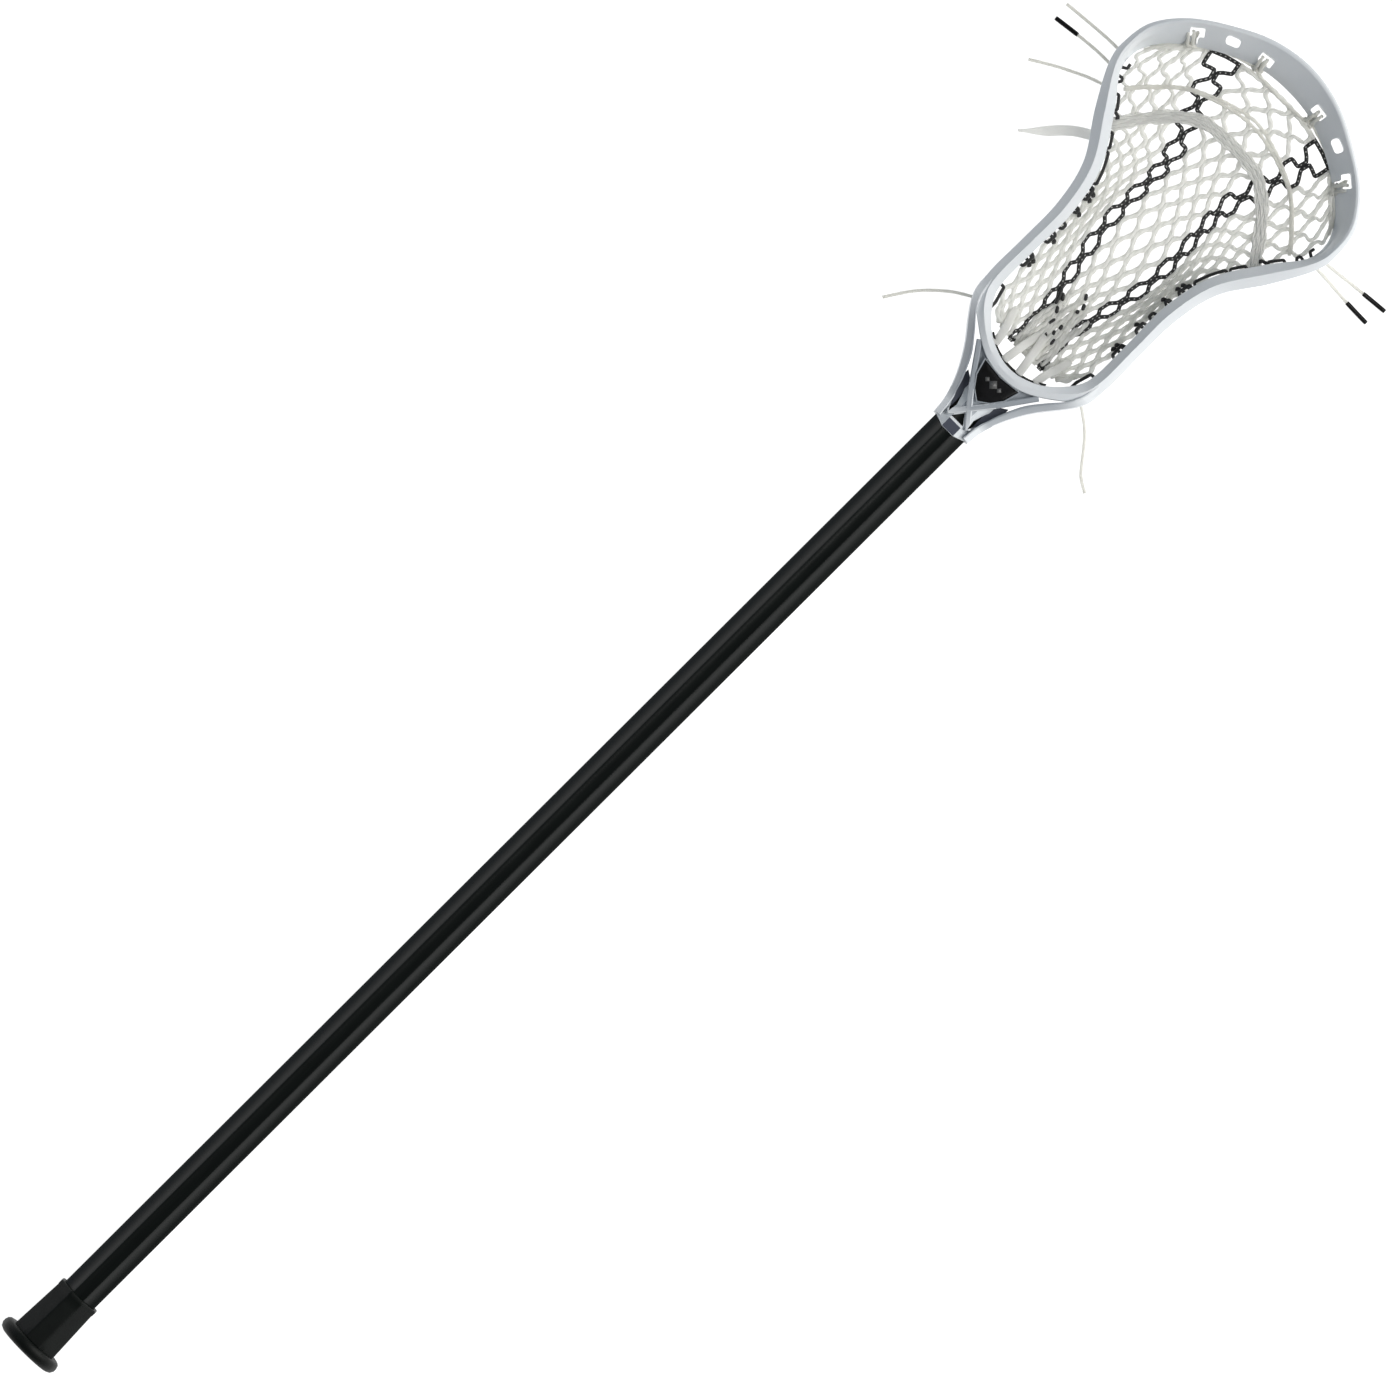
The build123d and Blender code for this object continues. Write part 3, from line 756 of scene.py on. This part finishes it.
def make_end_cap(material):
    """Octagonal sleeve that grows towards a round rim, with a small lip at its mouth."""
    low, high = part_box("end_cap")
    mouth, rim = high.y / MM, (high.x - low.x) / 2 / MM
    sections = octagon_rings([(8.3, 3.25), (16, 2.9), (26, 2.45), (36, 2), (40.4, 1.8), (41, 2.05),
                              (43.2, 2.1), (mouth - 0.3, 1.9), (mouth, 1.4)], 1.8)
    inner = octagon_rings([(mouth - 0.1, 0.15), (30, 0.15), (8, 0.15)], 1.5)

    def round_ring(radius, y):
        """A circle with as many points as the sleeve's sections, each beside its own."""
        sizes = [hypot(x, z) for x, _, z in sections[0]]
        return [(x / size * radius, y, z / size * radius) for (x, _, z), size in zip(sections[0], sizes)]

    outline = [(0.5, 0), (0.72 * rim, 0.05), (0.86 * rim, 0.35), (0.95 * rim, 1.3), (rim, 3.2), (rim, 5.2),
               (0.97 * rim, 7), (0.92 * rim, 7.8), (0.85 * rim, 8.15)]
    flange = [round_ring(radius, y) for radius, y in outline]
    cap = crisp(skin("end_cap_rubber", flange + sections + inner), 40)
    finished(cap, material, "end_cap", body="cap")


# ---- head ----
def upright_profile(width, top, bottom, roof):
    """Wall with a roof-shaped upper rail, a thin web and a lower rail, as (outwards, up) points."""
    web_out = width - 2.8
    web_in = max(web_out - 3, 1.2)
    middle, eaves = (top + bottom) / 2, top - roof
    return [
        (0.50 * width, top), (0.76 * width, top - 0.5 * roof), (width - 0.2, eaves), (width, eaves - 1.1),
        (width - 1, top - 7), (web_out, top - 8.4), (web_out, middle), (web_out, bottom + 8),
        (width - 1.6, bottom + 6.4), (width - 0.9, bottom + 4.6), (width - 1, bottom + 1.4),
        (width - 2.6, bottom), (2.4, bottom), (0.9, bottom + 1.4), (0.7, bottom + 4.6), (1, bottom + 6.4),
        (web_in, bottom + 8), (web_in, middle), (web_in, top - 8.4), (0.8, top - 7),
        (0, eaves - 1.1), (0.2, eaves), (0.25 * width, top - 0.5 * roof),
    ]


def scoop_profile(width, top, bottom):
    """Leaning blade of the scoop, with as many points in the same order."""
    rise = top - bottom
    back = [(0.97, 0.78), (0.86, 0.60), (0.74, 0.45), (0.60, 0.32), (0.47, 0.20), (0.36, 0.09), (0.28, 0.02)]
    front = [(0.10, 0.20), (0.20, 0.34), (0.32, 0.47), (0.46, 0.61), (0.60, 0.74), (0.72, 0.86)]
    points = [(width - 1.5, top), (width - 0.6, top - 0.3), (width - 0.1, top - 1.2), (width, top - 2.6)]
    points += [(u * width, bottom + v * rise) for u, v in back]
    points += [(0.20 * width, bottom - 0.5), (0.12 * width, bottom - 0.6), (0.04 * width, bottom - 0.1),
               (0, bottom + 0.9), (0.03 * width, bottom + 0.09 * rise)]
    points += [(u * width, bottom + v * rise) for u, v in front]
    return points + [(width - 2.7, top - 0.35)]


def wall_stations():
    """The wall's stations all the way round, with the roof's fall and the share of scoop at each."""
    right = []
    for i, row in enumerate(WALL):
        roof = 0.8 + 4 * smooth((i - 1) / 3)
        right.append([*row, roof, smooth((i - LEAN_START) / (LEAN_END - LEAN_START))])
    left = [[-row[0], row[1], -row[2], *row[3:]] for row in reversed(right[1:-1])]
    return right + left


def section_ring(ox, oy, ix, iy, profile):
    """A section that stands across from the inner edge to the outer one, from the profile for its width."""
    width = hypot(ox - ix, oy - iy)
    ux, uy = (ox - ix) / width, (oy - iy) / width
    return [(ix + ux * r, iy + uy * r, z) for r, z in profile(width)]


def wall_ring(station):
    *edges, top, bottom, roof, lean = station

    def profile(width):
        profiles = upright_profile(width, top, bottom, roof), scoop_profile(width, top, bottom)
        return [(r0 + (r1 - r0) * lean, z0 + (z1 - z0) * lean) for (r0, z0), (r1, z1) in zip(*profiles)]

    return section_ring(*edges, profile)


LINE_STEPS = 20
WALL_LINE = rounded_line(WALL, LINE_STEPS)


def placed_in_wall(name, position, above_bottom, depth, outline, side):
    """A prism through the wall at a fractional row, at a level above the wall's lowest."""
    here, ahead = WALL_LINE[int(position * LINE_STEPS)], WALL_LINE[int(position * LINE_STEPS) + 1]
    middle = (here[0:2] + here[2:4]) / 2
    along = (ahead[0:2] + ahead[2:4]) / 2 - middle
    along /= np.linalg.norm(along)
    along, up = Vector((side * along[0], along[1], 0)), Vector((0, 0, 1))
    matrix = Matrix((along, up, along.cross(up))).transposed().to_4x4()
    matrix.translation = Vector((side * middle[0], middle[1], here[5] + above_bottom))
    return skin(name, [[matrix @ Vector((x, y, z)) for x, y in outline] for z in (-depth, depth)])


def rounded_corners(corners, radius):
    """A polygon with its corners rounded."""
    out = []
    points = [Vector(c) for c in corners]
    for i, corner in enumerate(points):
        before, after = points[i - 1], points[(i + 1) % len(points)]
        start = corner + (before - corner).normalized() * radius
        end = corner + (after - corner).normalized() * radius
        out += [tuple(point) for point in corner_arc(start, corner, end, 4)]
    return out


def window_cutters():
    """Leaning windows through the wall's thin web, where it is high enough for one."""
    cutters = []
    rail, least_height, half_length, depth, corner_radius = 8.8, 4.5, 9, 14, 2.6
    for row in range(4, 9):
        position = row + 0.5
        top, bottom = WALL_LINE[int(position * LINE_STEPS)][4:6]
        height = top - bottom - 2 * rail
        if height < least_height:
            continue
        half = height / 2
        lean = 3.2 if row % 2 else -3.2
        corners = [(end * half_length + up * lean, up * half)
                   for end, up in ((-1, -1), (1, -1), (1, 1), (-1, 1))]
        outline = rounded_corners(corners, corner_radius)
        for side in SIDES:
            cutters.append(placed_in_wall("window", position, rail + half, depth, outline, side))
    return cutters


def string_hole_cutters():
    radius, corners, above_bottom, depth = 1.75, 14, 3.9, 13
    angles = [2 * pi * k / corners for k in range(corners)]
    outline = [(radius * cos(angle), radius * sin(angle)) for angle in angles]
    return [placed_in_wall("string_hole", third / 3, above_bottom, depth, outline, side)
            for third in range(10, 30) for side in SIDES]


def scoop_hole_cutters():
    """Three holes a side through the blade: two with a stem for the string's knot, one plain."""
    cutters = []
    slot = rounded_corners([(-4.3, -2.6), (4.3, -2.6), (4.3, 2.6), (-4.3, 2.6)], 2.3)
    keyhole = rounded_corners([(-1.1, -6.2), (1.1, -6.2), (1.1, -2.6), (4.3, -2.6), (4.3, 2.6), (-4.3, 2.6),
                               (-4.3, -2.6), (-1.1, -2.6)], 0.9)
    holes = ((20.7, 1001.4, 8, keyhole), (41.1, 995.6, 22, slot), (58.9, 985.4, 38, keyhole))
    for x, y, turn, outline in holes:
        for side in SIDES:
            along, across = cos(radians(turn)), -side * sin(radians(turn))
            placed = [(side * x + u * along - v * across, y + u * across + v * along) for u, v in outline]
            cutters.append(prism("scoop_hole", placed, -10, 40))
    return cutters


THROAT_TOP = 17.6
WINDOW_BACK = 9.4  # level of the panels behind the side windows
PLATE = [(-13.1, 772.2), (-10.6, 763.2), (-6, 756.9), (0, 752.6), (6, 756.9), (10.6, 763.2),
         (13.1, 772.2), (0, 770.8)]
# The throat's outer strut on the +X side: outer edge x and y, inner edge x and y, highest level.
OUTER_STRUT = [
    (13.1, 732.2, 9, 732.6, 15.4),
    (14.4, 742.4, 10.2, 742.4, 15.6),
    (17.8, 752.8, 12.9, 751.6, 15.9),
    (22.9, 763.2, 16.6, 761, 16.2),
    (29, 772.8, 21.2, 770, 16.6),
    (36.6, 782.4, 28.5, 779.4, 16.8),
    (42.2, 790.3, 35.8, 788, 16.8),
    (45.4, 797.7, 39.8, 796.6, 16.4),
    (46.4, 806.5, 41.2, 806.5, 15.2),
]
SIDE_WINDOW = [(14.4, 760.8), (12.2, 759.6), (10.6, 754.5), (8.7, 750.2), (6.6, 743.5), (7.4, 737.4),
               (9.4, 741.5), (12.2, 748.6), (14.1, 755)]
# One arm of the cross: x, y and how far its top lies under the throat's top.
ARM = [(-7.9, 737.1, 1.4), (0, 746.3, 0.1), (9.3, 758, 0.2), (23.4, 778, 1.6)]


def make_socket():
    """Tube round the shaft's end, whose collar reaches further down in front than at the sides."""
    rings = []
    half_front = 4.2
    for y, growth in ((729, 1.2), (729.3, 1.7), (735.4, 1.7), (736, 1.2), (774.5, 1.1)):
        slope = 0.4 * smooth((735 - y) / 5)
        ring = octagon_ring(*grown(growth), y, 0.6)
        rings.append([(x, y + slope * max(0, abs(x) - half_front), z) for x, _, z in ring])
    return skin("socket", rings)


def strut_ring(station):
    """The strut's top is flat inside and slopes away outside."""
    *edges, top = station
    bottom = -15

    def profile(width):
        return [(0.3, top), (0.24 * width, top), (width - 0.5, top - 5.2), (width, top - 6.6),
                (width, bottom + 1), (width - 1, bottom), (1, bottom), (0, bottom + 1), (0, top - 0.5)]

    return section_ring(*edges, profile)


def outer_strut(side):
    rings = [on_side(side, strut_ring(station)) for station in rounded_line(OUTER_STRUT, 5)]
    return skin("outer_strut", rings)


def arm(side):
    """One arm of the cross, with bevelled upper edges."""
    half, depth, bevel = 1.65, 5, 0.55
    line = np.array([(side * x, y, THROAT_TOP - fall) for x, y, fall in ARM])
    across, _ = level_frames(line)
    section = [(-half, -depth), (half, -depth), (half, -bevel), (half - bevel, 0), (bevel - half, 0),
               (-half, -bevel)]
    return skin("arm", [[point + way * u + UP * v for u, v in section] for point, way in zip(line, across)])


def about_plate(points, share):
    """The same outline, larger or smaller about the plate's middle."""
    middle_y = 764
    return [(x * share, middle_y + (y - middle_y) * share) for x, y in points]


def throat_parts():
    web = ((11, 759.6), (14, 763.4), (23, 777.2), (13, 777.2))
    parts = [make_socket(), *map(outer_strut, SIDES), *map(arm, SIDES)]
    parts += side_prisms("web", web, THROAT_TOP - 8, THROAT_TOP - 4.5)
    return parts + [prism("cradle", about_plate(PLATE, 1.07), THROAT_TOP - 3.6, THROAT_TOP)]


def throat_cutters():
    """The shaft's bore, the plate's recess, and the windows that show the shaft."""
    front = rounded_corners([(-4.6, 736.9), (4.6, 736.9), (0, 743)], 0.5)
    return [skin("bore", octagon_rings([(725, 0.12), (770.6, 0.12)], 1.5)),
            prism("recess", PLATE, THROAT_TOP - 1.4, THROAT_TOP + 4), prism("front_window", front, 6, 24),
            *side_prisms("side_window", SIDE_WINDOW, 3, 24)]


def window_backs():
    """The panels behind the side windows, which get the dark painted shade."""
    outline = ((8.4, 739), (13.6, 746), (16, 755), (16, 762), (8.4, 757))
    return side_prisms("window_back", outline, 6, WINDOW_BACK)


def in_dark_painted_shade(place, level):
    """Whether a face gets the dark painted shade: the front of the socket's collar, or a panel behind a side
    window.
    """
    half_front, collar_end, collar_level = 4.6, 736.3, SHAFT_DEPTH / 2 + 1
    on_collar = abs(place.x) < half_front and place.y < collar_end and place.z > collar_level
    on_panel = 8 < abs(place.x) < 15.5 and 737 < place.y < 762 and abs(place.z - WINDOW_BACK) < 0.1
    return level > 0.9 and (on_collar or on_panel)


def gets_painted_shade(place, level):
    """Whether a face is on top of the throat's arms or struts, which get a darker painted shade."""
    strut_start, ring_start = 12.6, 771.2 + 0.0135 * place.x**2
    flat = level > 0.93 and place.z > THROAT_TOP - 3
    strut_slope = level > 0.3 and abs(place.x) > strut_start
    return place.y < ring_start and (flat or strut_slope)


def paint_throat_shade(head):
    """Gives the faces of the dark painted shade their material, and sets how much painted shade each corner
    gets: none at the collar or towards the rails.
    """
    mesh = head.data
    throat_end = 800
    # How much painted shade each corner of the throat gets.
    satin = mesh.attributes.new("satin", "FLOAT", "CORNER")
    for polygon in mesh.polygons:
        middle, level = polygon.center / MM, polygon.normal.z
        # Material 1 is the dark painted shade of the collar's front and the panels behind the side windows.
        polygon.material_index = 1 if in_dark_painted_shade(middle, level) else 0
        if middle.y > throat_end or not gets_painted_shade(middle, level):
            continue
        for corner in polygon.loop_indices:
            y = mesh.vertices[mesh.loops[corner].vertex_index].co.y / MM
            satin.data[corner].value = smooth((y - 740) / 9) * smooth((799 - y) / 20)


def make_head(material, dark_shade_plastic):
    stations = rounded_line(wall_stations(), 10, closed=True)
    head = skin("head_moulding", [wall_ring(station) for station in stations], closed_loop=True)
    for part in throat_parts():
        combine(head, part, "UNION")
    for cutter in throat_cutters():
        combine(head, cutter, "DIFFERENCE")
    for cutters in (window_cutters(), string_hole_cutters(), scoop_hole_cutters()):
        combine(head, joined("cutters", cutters), "DIFFERENCE")
    for panel in window_backs():
        combine(head, panel, "UNION")
    finished(head, material, "head_frame")
    head.data.materials.append(dark_shade_plastic)
    paint_throat_shade(head)
    crisp(head, 24)


def make_plate(material, mark):
    """Black shield set into the throat's front, slightly domed, with three plain grey diamonds."""
    outline = rounded_corners(about_plate(PLATE, 0.985), 0.5)
    rings = []
    for z, share in ((-1.3, 1), (-0.15, 1), (0.1, 0.975), (0.3, 0.9), (0.45, 0.6), (0.5, 0.1)):
        rings.append([(*point, THROAT_TOP + z) for point in about_plate(outline, share)])
    finished(skin("throat_plate_inlay", rings), material, "throat_plate")
    diamonds = []
    y = 765.2
    for x, size in ((-4.6, 1.7), (0, 3.1), (4.6, 1.7)):
        corners = [(x - size, y), (x, y - size), (x + size, y), (x, y + size)]
        diamonds.append(prism("diamond", corners, THROAT_TOP + 0.1, THROAT_TOP + 0.56))
    finished(joined("throat_plate_mark", diamonds), mark, "throat_plate")


def make_pad(material):
    """Foam strip bent round the ball stop's inner face, thinner towards its ends."""
    low, high, bevel, half_width, sunk = -8, 10, 0.8, 21, 0.2
    back = rounded_line([(-21, 786.6), (-11.5, 780.9), (0, 778.4), (11.5, 780.9), (21, 786.6)], 10)
    direction = tangents(back)
    inwards = np.stack([-direction[:, 1], direction[:, 0]], axis=1)
    rings = []
    for point, normal in zip(back, inwards):
        thick = 1.7 - 1.2 * smooth(abs(point[0]) / half_width)
        profile = [(-sunk, low), (0.8 * thick, low), (thick, low + bevel), (thick, high - bevel),
                   (0.8 * thick, high), (-sunk, high)]
        rings.append([(*(point + normal * u), z) for u, z in profile])
    pad = skin("ball_stop_foam", rings)
    finished(pad, material, "ball_stop_pad")


# ---- mesh pocket ----
NET_GAP = 0.6


def net_point(column, row, aside=0):
    """Where a column of the mesh is at a row."""
    middle_y, stripe_y, stripe, hole, shift, edge_y, edge = along_table(NET, row)
    size = abs(column)
    if size <= STRIPE_IN:
        x = (stripe - hole) * size / STRIPE_IN
    elif size <= STRIPE_OUT:
        x = stripe + 2 * hole * (size - STRIPE_COLUMN)
    else:
        x = stripe + hole + (edge - stripe - hole) * (size - STRIPE_OUT) / (EDGE_COLUMN - STRIPE_OUT)
    if size <= STRIPE_COLUMN:
        y = middle_y + (stripe_y - middle_y) * (size / STRIPE_COLUMN)**2
    else:
        y = stripe_y + (edge_y - stripe_y) * (size - STRIPE_COLUMN) / (EDGE_COLUMN - STRIPE_COLUMN)
    x = copysign(x, column) + shift * max(0, 1 - size / EDGE_COLUMN) + aside
    return (x, y, pocket_level(x, y))


def column_gap(column, row):
    """Width of half a column there."""
    ahead, back = net_point(column + 0.25, row), net_point(column - 0.25, row)
    return hypot(ahead[0] - back[0], ahead[1] - back[1])


def swing_at(strand, row, t):
    """How far a strand has swung over to its next half column, at a place between two rows."""
    if strand not in STRIPE_STRANDS:
        return smooth((t - 0.15) / 0.7)
    if row < LAST_ROW - 2:
        return smooth((t - 0.25) / 0.5)
    return smooth((t - 0.42) / 0.2) if row % 2 == 0 else 0


def zigzag(strand):
    """One knitted strand: it swings between two half columns and lies beside a neighbour at each row."""
    line = []
    for row in range(FIRST_ROW, ceil(LAST_ROW)):
        near, far = ((strand + (strand + r) % 2) / 2 for r in (row, row + 1))
        beside = [1 if column == strand / 2 else -1 for column in (near, far)]
        for step in range(10):
            t = step / 10
            if row + t > LAST_ROW:
                break
            swing = swing_at(strand, row, t)
            column = near + (far - near) * swing
            gap = min(1.2, 0.2 * column_gap(column, row + t))
            aside = gap * (beside[0] + (beside[1] - beside[0]) * swing)
            line.append(net_point(column, row + t, aside))
    return evenly(line, NET_GAP)


def border(start, end):
    """The strand along the mesh's upper edge, from one column to another."""
    return evenly([net_point(column, LAST_ROW) for column in np.linspace(start, end, 40)], NET_GAP)


def folded_end():
    """Strands of the mesh's tail, which is folded back under the pocket at the throat."""
    lines = []
    for k in range(11):
        start, end = -10 + 2.1 * k, -7.6 + 2 * k
        reach = 36 + 6 * sin(1.9 * k)
        line = []
        for t in np.linspace(0, 1, 30):
            x = start + (end - start) * t + 0.7 * sin(9 * t + 1.3 * k)
            y = 793 + reach * t
            line.append((x, y, pocket_level(x, y) + 1.5 * sin(pi * t)))
        lines.append(evenly(line, NET_GAP))
    return lines


# Places of the flecks: middle x and y, length, lean in degrees.
FLECKS = [(1.9, 838.4, 4.2, -35), (4.9, 833.5, 4, -25), (4.4, 829.2, 2.6, -20), (-4.6, 822, 4.4, -35),
          (-2, 815.2, 5.4, 10), (4, 816.5, 3.4, -20), (3.4, 811.4, 3.4, -25), (1.2, 806.6, 5.6, -25),
          (6.4, 807.4, 4.2, -8), (-9.6, 829.6, 8, -30), (-8.4, 826.4, 6, -20), (-7.4, 829.4, 5, -40)]


def flecks():
    """Short stretches of the tail's black strands that show between the white ones."""
    lines = []
    for x, y, length, lean in FLECKS:
        u, v = sin(radians(lean)) * length / 2, cos(radians(lean)) * length / 2
        ends = [(x - u, y - v), (x, y), (x + u, y + v)]
        lines.append(evenly(over_pocket(ends, 1.9)))
    return lines


def dashes(reach, angle):
    """White dashes along the top of a black strand."""
    spacing, length, half_width = 3, 1.3, pi / 6
    on_top = max(0, 1 - abs(angle - pi / 2) / half_width)
    return on_top if reach % spacing < length else 0


def make_net(white, black):
    light, dark = [], []
    for strand in range(-11, 11):
        (dark if strand in STRIPE_STRANDS else light).append(zigzag(strand))
    dark += [border(-STRIPE_OUT, -STRIPE_IN), border(STRIPE_IN, STRIPE_OUT)]
    light.append(border(-STRIPE_IN, STRIPE_IN))
    light += [border(-EDGE_COLUMN, -STRIPE_OUT), border(STRIPE_OUT, EDGE_COLUMN)]
    net = strands("mesh_pocket_white", light + folded_end(), 2.9, 2.1, lobes=2, depth=0.14, pitch=6)
    stripes = strands("mesh_pocket_stripes", dark, 2.4, 2, 18, level=True, dye=dashes)
    ends = strands("mesh_pocket_flecks", flecks(), 2.2, 1.6,
                   end_share=lambda s: sqrt(max(0.05, 1 - abs(2 * s - 1)**4)))
    for piece, material in ((net, white), (stripes, black), (ends, black)):
        finished(piece, material, "mesh_pocket")


# ---- strings on the head ----
LACE_WIDTH = 7.4
LACE_GAP = 0.8


def lace_yarns(middle, width, count):
    """Brushed yarns that wander along a flat lace's upper face."""
    across, over = level_frames(middle)
    reach = np.arange(len(middle)) * LACE_GAP
    lines = []
    for k in range(count):
        place = (k / (count - 1) - 0.5) * (width - 1.2)
        wander = 0.45 * np.sin(0.31 * reach + 2.1 * k) + 0.25 * np.sin(0.83 * reach + 1.3 * k * k)
        rise = 0.75 * sqrt(1 - (place / (0.62 * width))**2) + 0.18 * np.sin(0.57 * reach + 0.9 * k)
        lines.append(middle + across * (place + wander)[:, None] + over * rise[:, None])
    return lines


def make_shooting_strings(string, lace):
    half = [(12, 972.4), (25.1, 968.1), (41.3, 960.3), (55.9, 947.4), (65.9, 936.3)]
    upper = symmetric(half, (0, 974.2))
    lower = [(x, y - 3 * max(0, 1 - abs(x) / 40) - 1.2 * abs(x) / 66) for x, y in upper]
    lines = [evenly(over_pocket(rounded_line(points, 12), 1.9)) for points in (upper, lower)]
    cord = strands("shooting_cord_pair", lines, 2, 1.8, 10, lobes=2, depth=0.12, pitch=4.5)
    finished(cord, string, "shooting_cord")
    half = [(20.1, 954.1), (34.1, 945.2), (44.7, 933.6), (54.5, 919.9), (60.3, 914.3)]
    flat = rounded_line(symmetric(half, (0, 955.8)), 12)
    middle = evenly(over_pocket(flat, 2.2), LACE_GAP)
    band = strands("shooting_lace_band", [middle], LACE_WIDTH - 0.8, 1.5, 20, level=True)
    yarns = strands("shooting_lace_yarns", lace_yarns(middle, LACE_WIDTH, 9), 1.25, 1.1, 6, lobes=2,
                    depth=0.2, pitch=5)
    for piece in (band, yarns):
        finished(piece, lace, "shooting_lace")


def make_throat_laces(lace):
    """Four strips from the top of the mesh's folded end to the ball stop. The right ones lie higher."""
    lines = []
    for (x0, y0), (x1, y1) in (((20.6, 806.5), (15.8, 783.6)), ((1.5, 807.5), (5.6, 780.8))):
        level = pocket_level(x0, y0)
        for side, lift in ((1, 4.6), (-1, 3)):
            points = [(x0, y0, level + 0.6), (x0, y0 - 3, level + lift),
                      (x0 * 0.6 + x1 * 0.4, y0 - 10.5, lift - 11), (x0 * 0.25 + x1 * 0.75, y1 + 7, 1),
                      (x1, y1 - 0.6, 11)]
            lines.append(evenly(rounded_line(on_side(side, points), 12)))
    laces = strands("throat_lace_strips", lines, 4.8, 1.6, 16, level=True)
    finished(laces, lace, "throat_laces")


# Stretches, from y to y, where the black string comes out from under the rail round the mesh's edge.
SHOWING = [(795.5, 809), (825.6, 833.5), (844.6, 850.6), (855.6, 858.6), (867.4, 869.8), (876.6, 883.6),
           (886.5, 903.3), (905.6, 912.6), (923.4, 930), (936.4, 938.4), (944.4, 950)]
KNOTS = (829, 832, 848, 868.6, 878.4, 882, 922.2)
KNOT_LOOP = ((2, 0.8), (-1.6, 0.6), (-4.2, -0.4), (-3.2, -1.6))


def inner_edge(y):
    return float(along_table([(row[3], row[2]) for row in WALL[3:11]], y)[0])


def showing(y):
    """How far the string has come out from under the rail, from 0 to 1."""
    return max(smooth((y - start + 1.4) / 1.6) * smooth((end + 1.4 - y) / 1.6) for start, end in SHOWING)


def make_sidewall_strings(black):
    """A string along each side of the mesh, partly hidden under the rail, with a loop at each knot."""
    first, last, step = 795, 947.6, 0.4
    hidden, swing = 2.6, 4.4  # how far outside the mesh's edge it lies, and how far it comes back in
    for side, word in zip(SIDES, ("right", "left")):
        route = []
        for y in np.arange(first, last, step):
            slope = inner_edge(y + 0.5) - inner_edge(y - 0.5)
            outwards = np.array((1, -slope)) / hypot(1, slope)
            out = showing(y)
            x, place = np.array((inner_edge(y), y)) + outwards * (hidden - swing * out)
            route.append((side * x, place, min(-9, pocket_level(x, y) + 2) + 2.6 * out))
        lines = [evenly(route, 0.6)]
        for y in KNOTS:
            loop = on_side(side, [(inner_edge(y) + u, y + v) for u, v in KNOT_LOOP])
            lines.append(evenly(over_pocket(rounded_line(loop, 5), 2.6)))
        name = "sidewall_string_" + word
        string = strands(name + "_cord", lines, 2, 1.9, 10, lobes=4, depth=0.05, pitch=7)
        finished(string, black, name)


def knot(place, turn):
    """Three wraps of string side by side, and two strands that lead up from them over the scoop's face."""
    centre = Vector(place)
    spin = Matrix.Rotation(radians(turn), 4, "Z")
    half_width, half_height, start = 2.9, 2, -2.8
    wraps = []
    for turns in np.arange(60) / 20:
        angle = 2 * pi * turns
        wraps.append((half_width * cos(angle), start + STRING_WIDTH * turns, half_height * sin(angle)))
    lines = [wraps]
    rise = ((-3, 0.4), (-0.8, 3.4), (1.8, 7.6), (4.2, 9.8), (5.6, 7.4))
    for x in (-1.5, 1.5):
        lines.append(rounded_line([(x, y, z) for y, z in rise], 6))
    return [evenly([centre + spin @ Vector(point) for point in line]) for line in lines]


def make_top_string(string):
    """Runs along the mesh's upper edge and loops through the scoop's keyholes, with a knot under each."""
    half = [
        (9, 993, 5.6), (17.2, 993.6, 5.6), (20, 996.4, 7.4), (20.2, 1001.6, 11.6), (21.8, 996.6, 7.6),
        (25, 994.4, 5), (34.5, 991.6, 3.4), (47.6, 985.2, 1.8), (54.8, 979.4, 2.4), (57.2, 980.6, 4.6),
        (58.6, 986, 9.4), (59.6, 980.2, 4.4), (61, 974.6, 1.6), (67, 968.6, 0), (73.4, 958.6, -2.4),
    ]
    lines = [evenly(rounded_line(symmetric(half, (0, 992.4, 5.4)), 8))]
    for x, y, turn in ((20.9, 996.2, 10), (58.3, 979.4, 42)):
        for side in SIDES:
            lines += knot((side * x, y, pocket_level(x, y) + 2.6), -side * turn)
    top = strands("top_string_cord", lines, STRING_WIDTH, STRING_WIDTH, 10, lobes=2, depth=0.12,
                  pitch=5)
    finished(top, string, "top_string")


def make_screw(material):
    """The screw keeps its CAD shape and gets a better material."""
    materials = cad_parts["head_screw"].data.materials
    materials.clear()
    materials.append(material)


def main():
    make_camera()
    make_studio()
    white_string = braided("white_string", (0.95, 0.94, 0.90), (0.80, 0.79, 0.75))
    black_string = braided("black_string", grey(0.02), grey(0.006))
    white_lace = woven_lace("white_lace", (0.97, 0.97, 0.95), (0.90, 0.90, 0.87))
    make_tails(white_string, white_lace, dark_plastic("tip_plastic", 0.3))
    make_shaft(shaft_metal())
    make_end_cap(cap_rubber())
    # The second head material is dark painted shade, not a plastic of its own.
    make_head(head_plastic("head_plastic", (0.785, 0.81, 0.83), (0.725, 0.76, 0.79)),
              head_plastic("head_plastic_painted_shade", (0.075, 0.085, 0.115), (0.062, 0.070, 0.098)))
    make_plate(dark_plastic("plate_plastic", 0.25), head_plastic("plate_mark", grey(0.13), grey(0.09)))
    make_pad(foam())
    make_screw(screw_steel())
    make_net(net_white(), net_black())
    make_shooting_strings(white_string, white_lace)
    make_throat_laces(white_lace)
    make_sidewall_strings(black_string)
    make_top_string(white_string)


main()
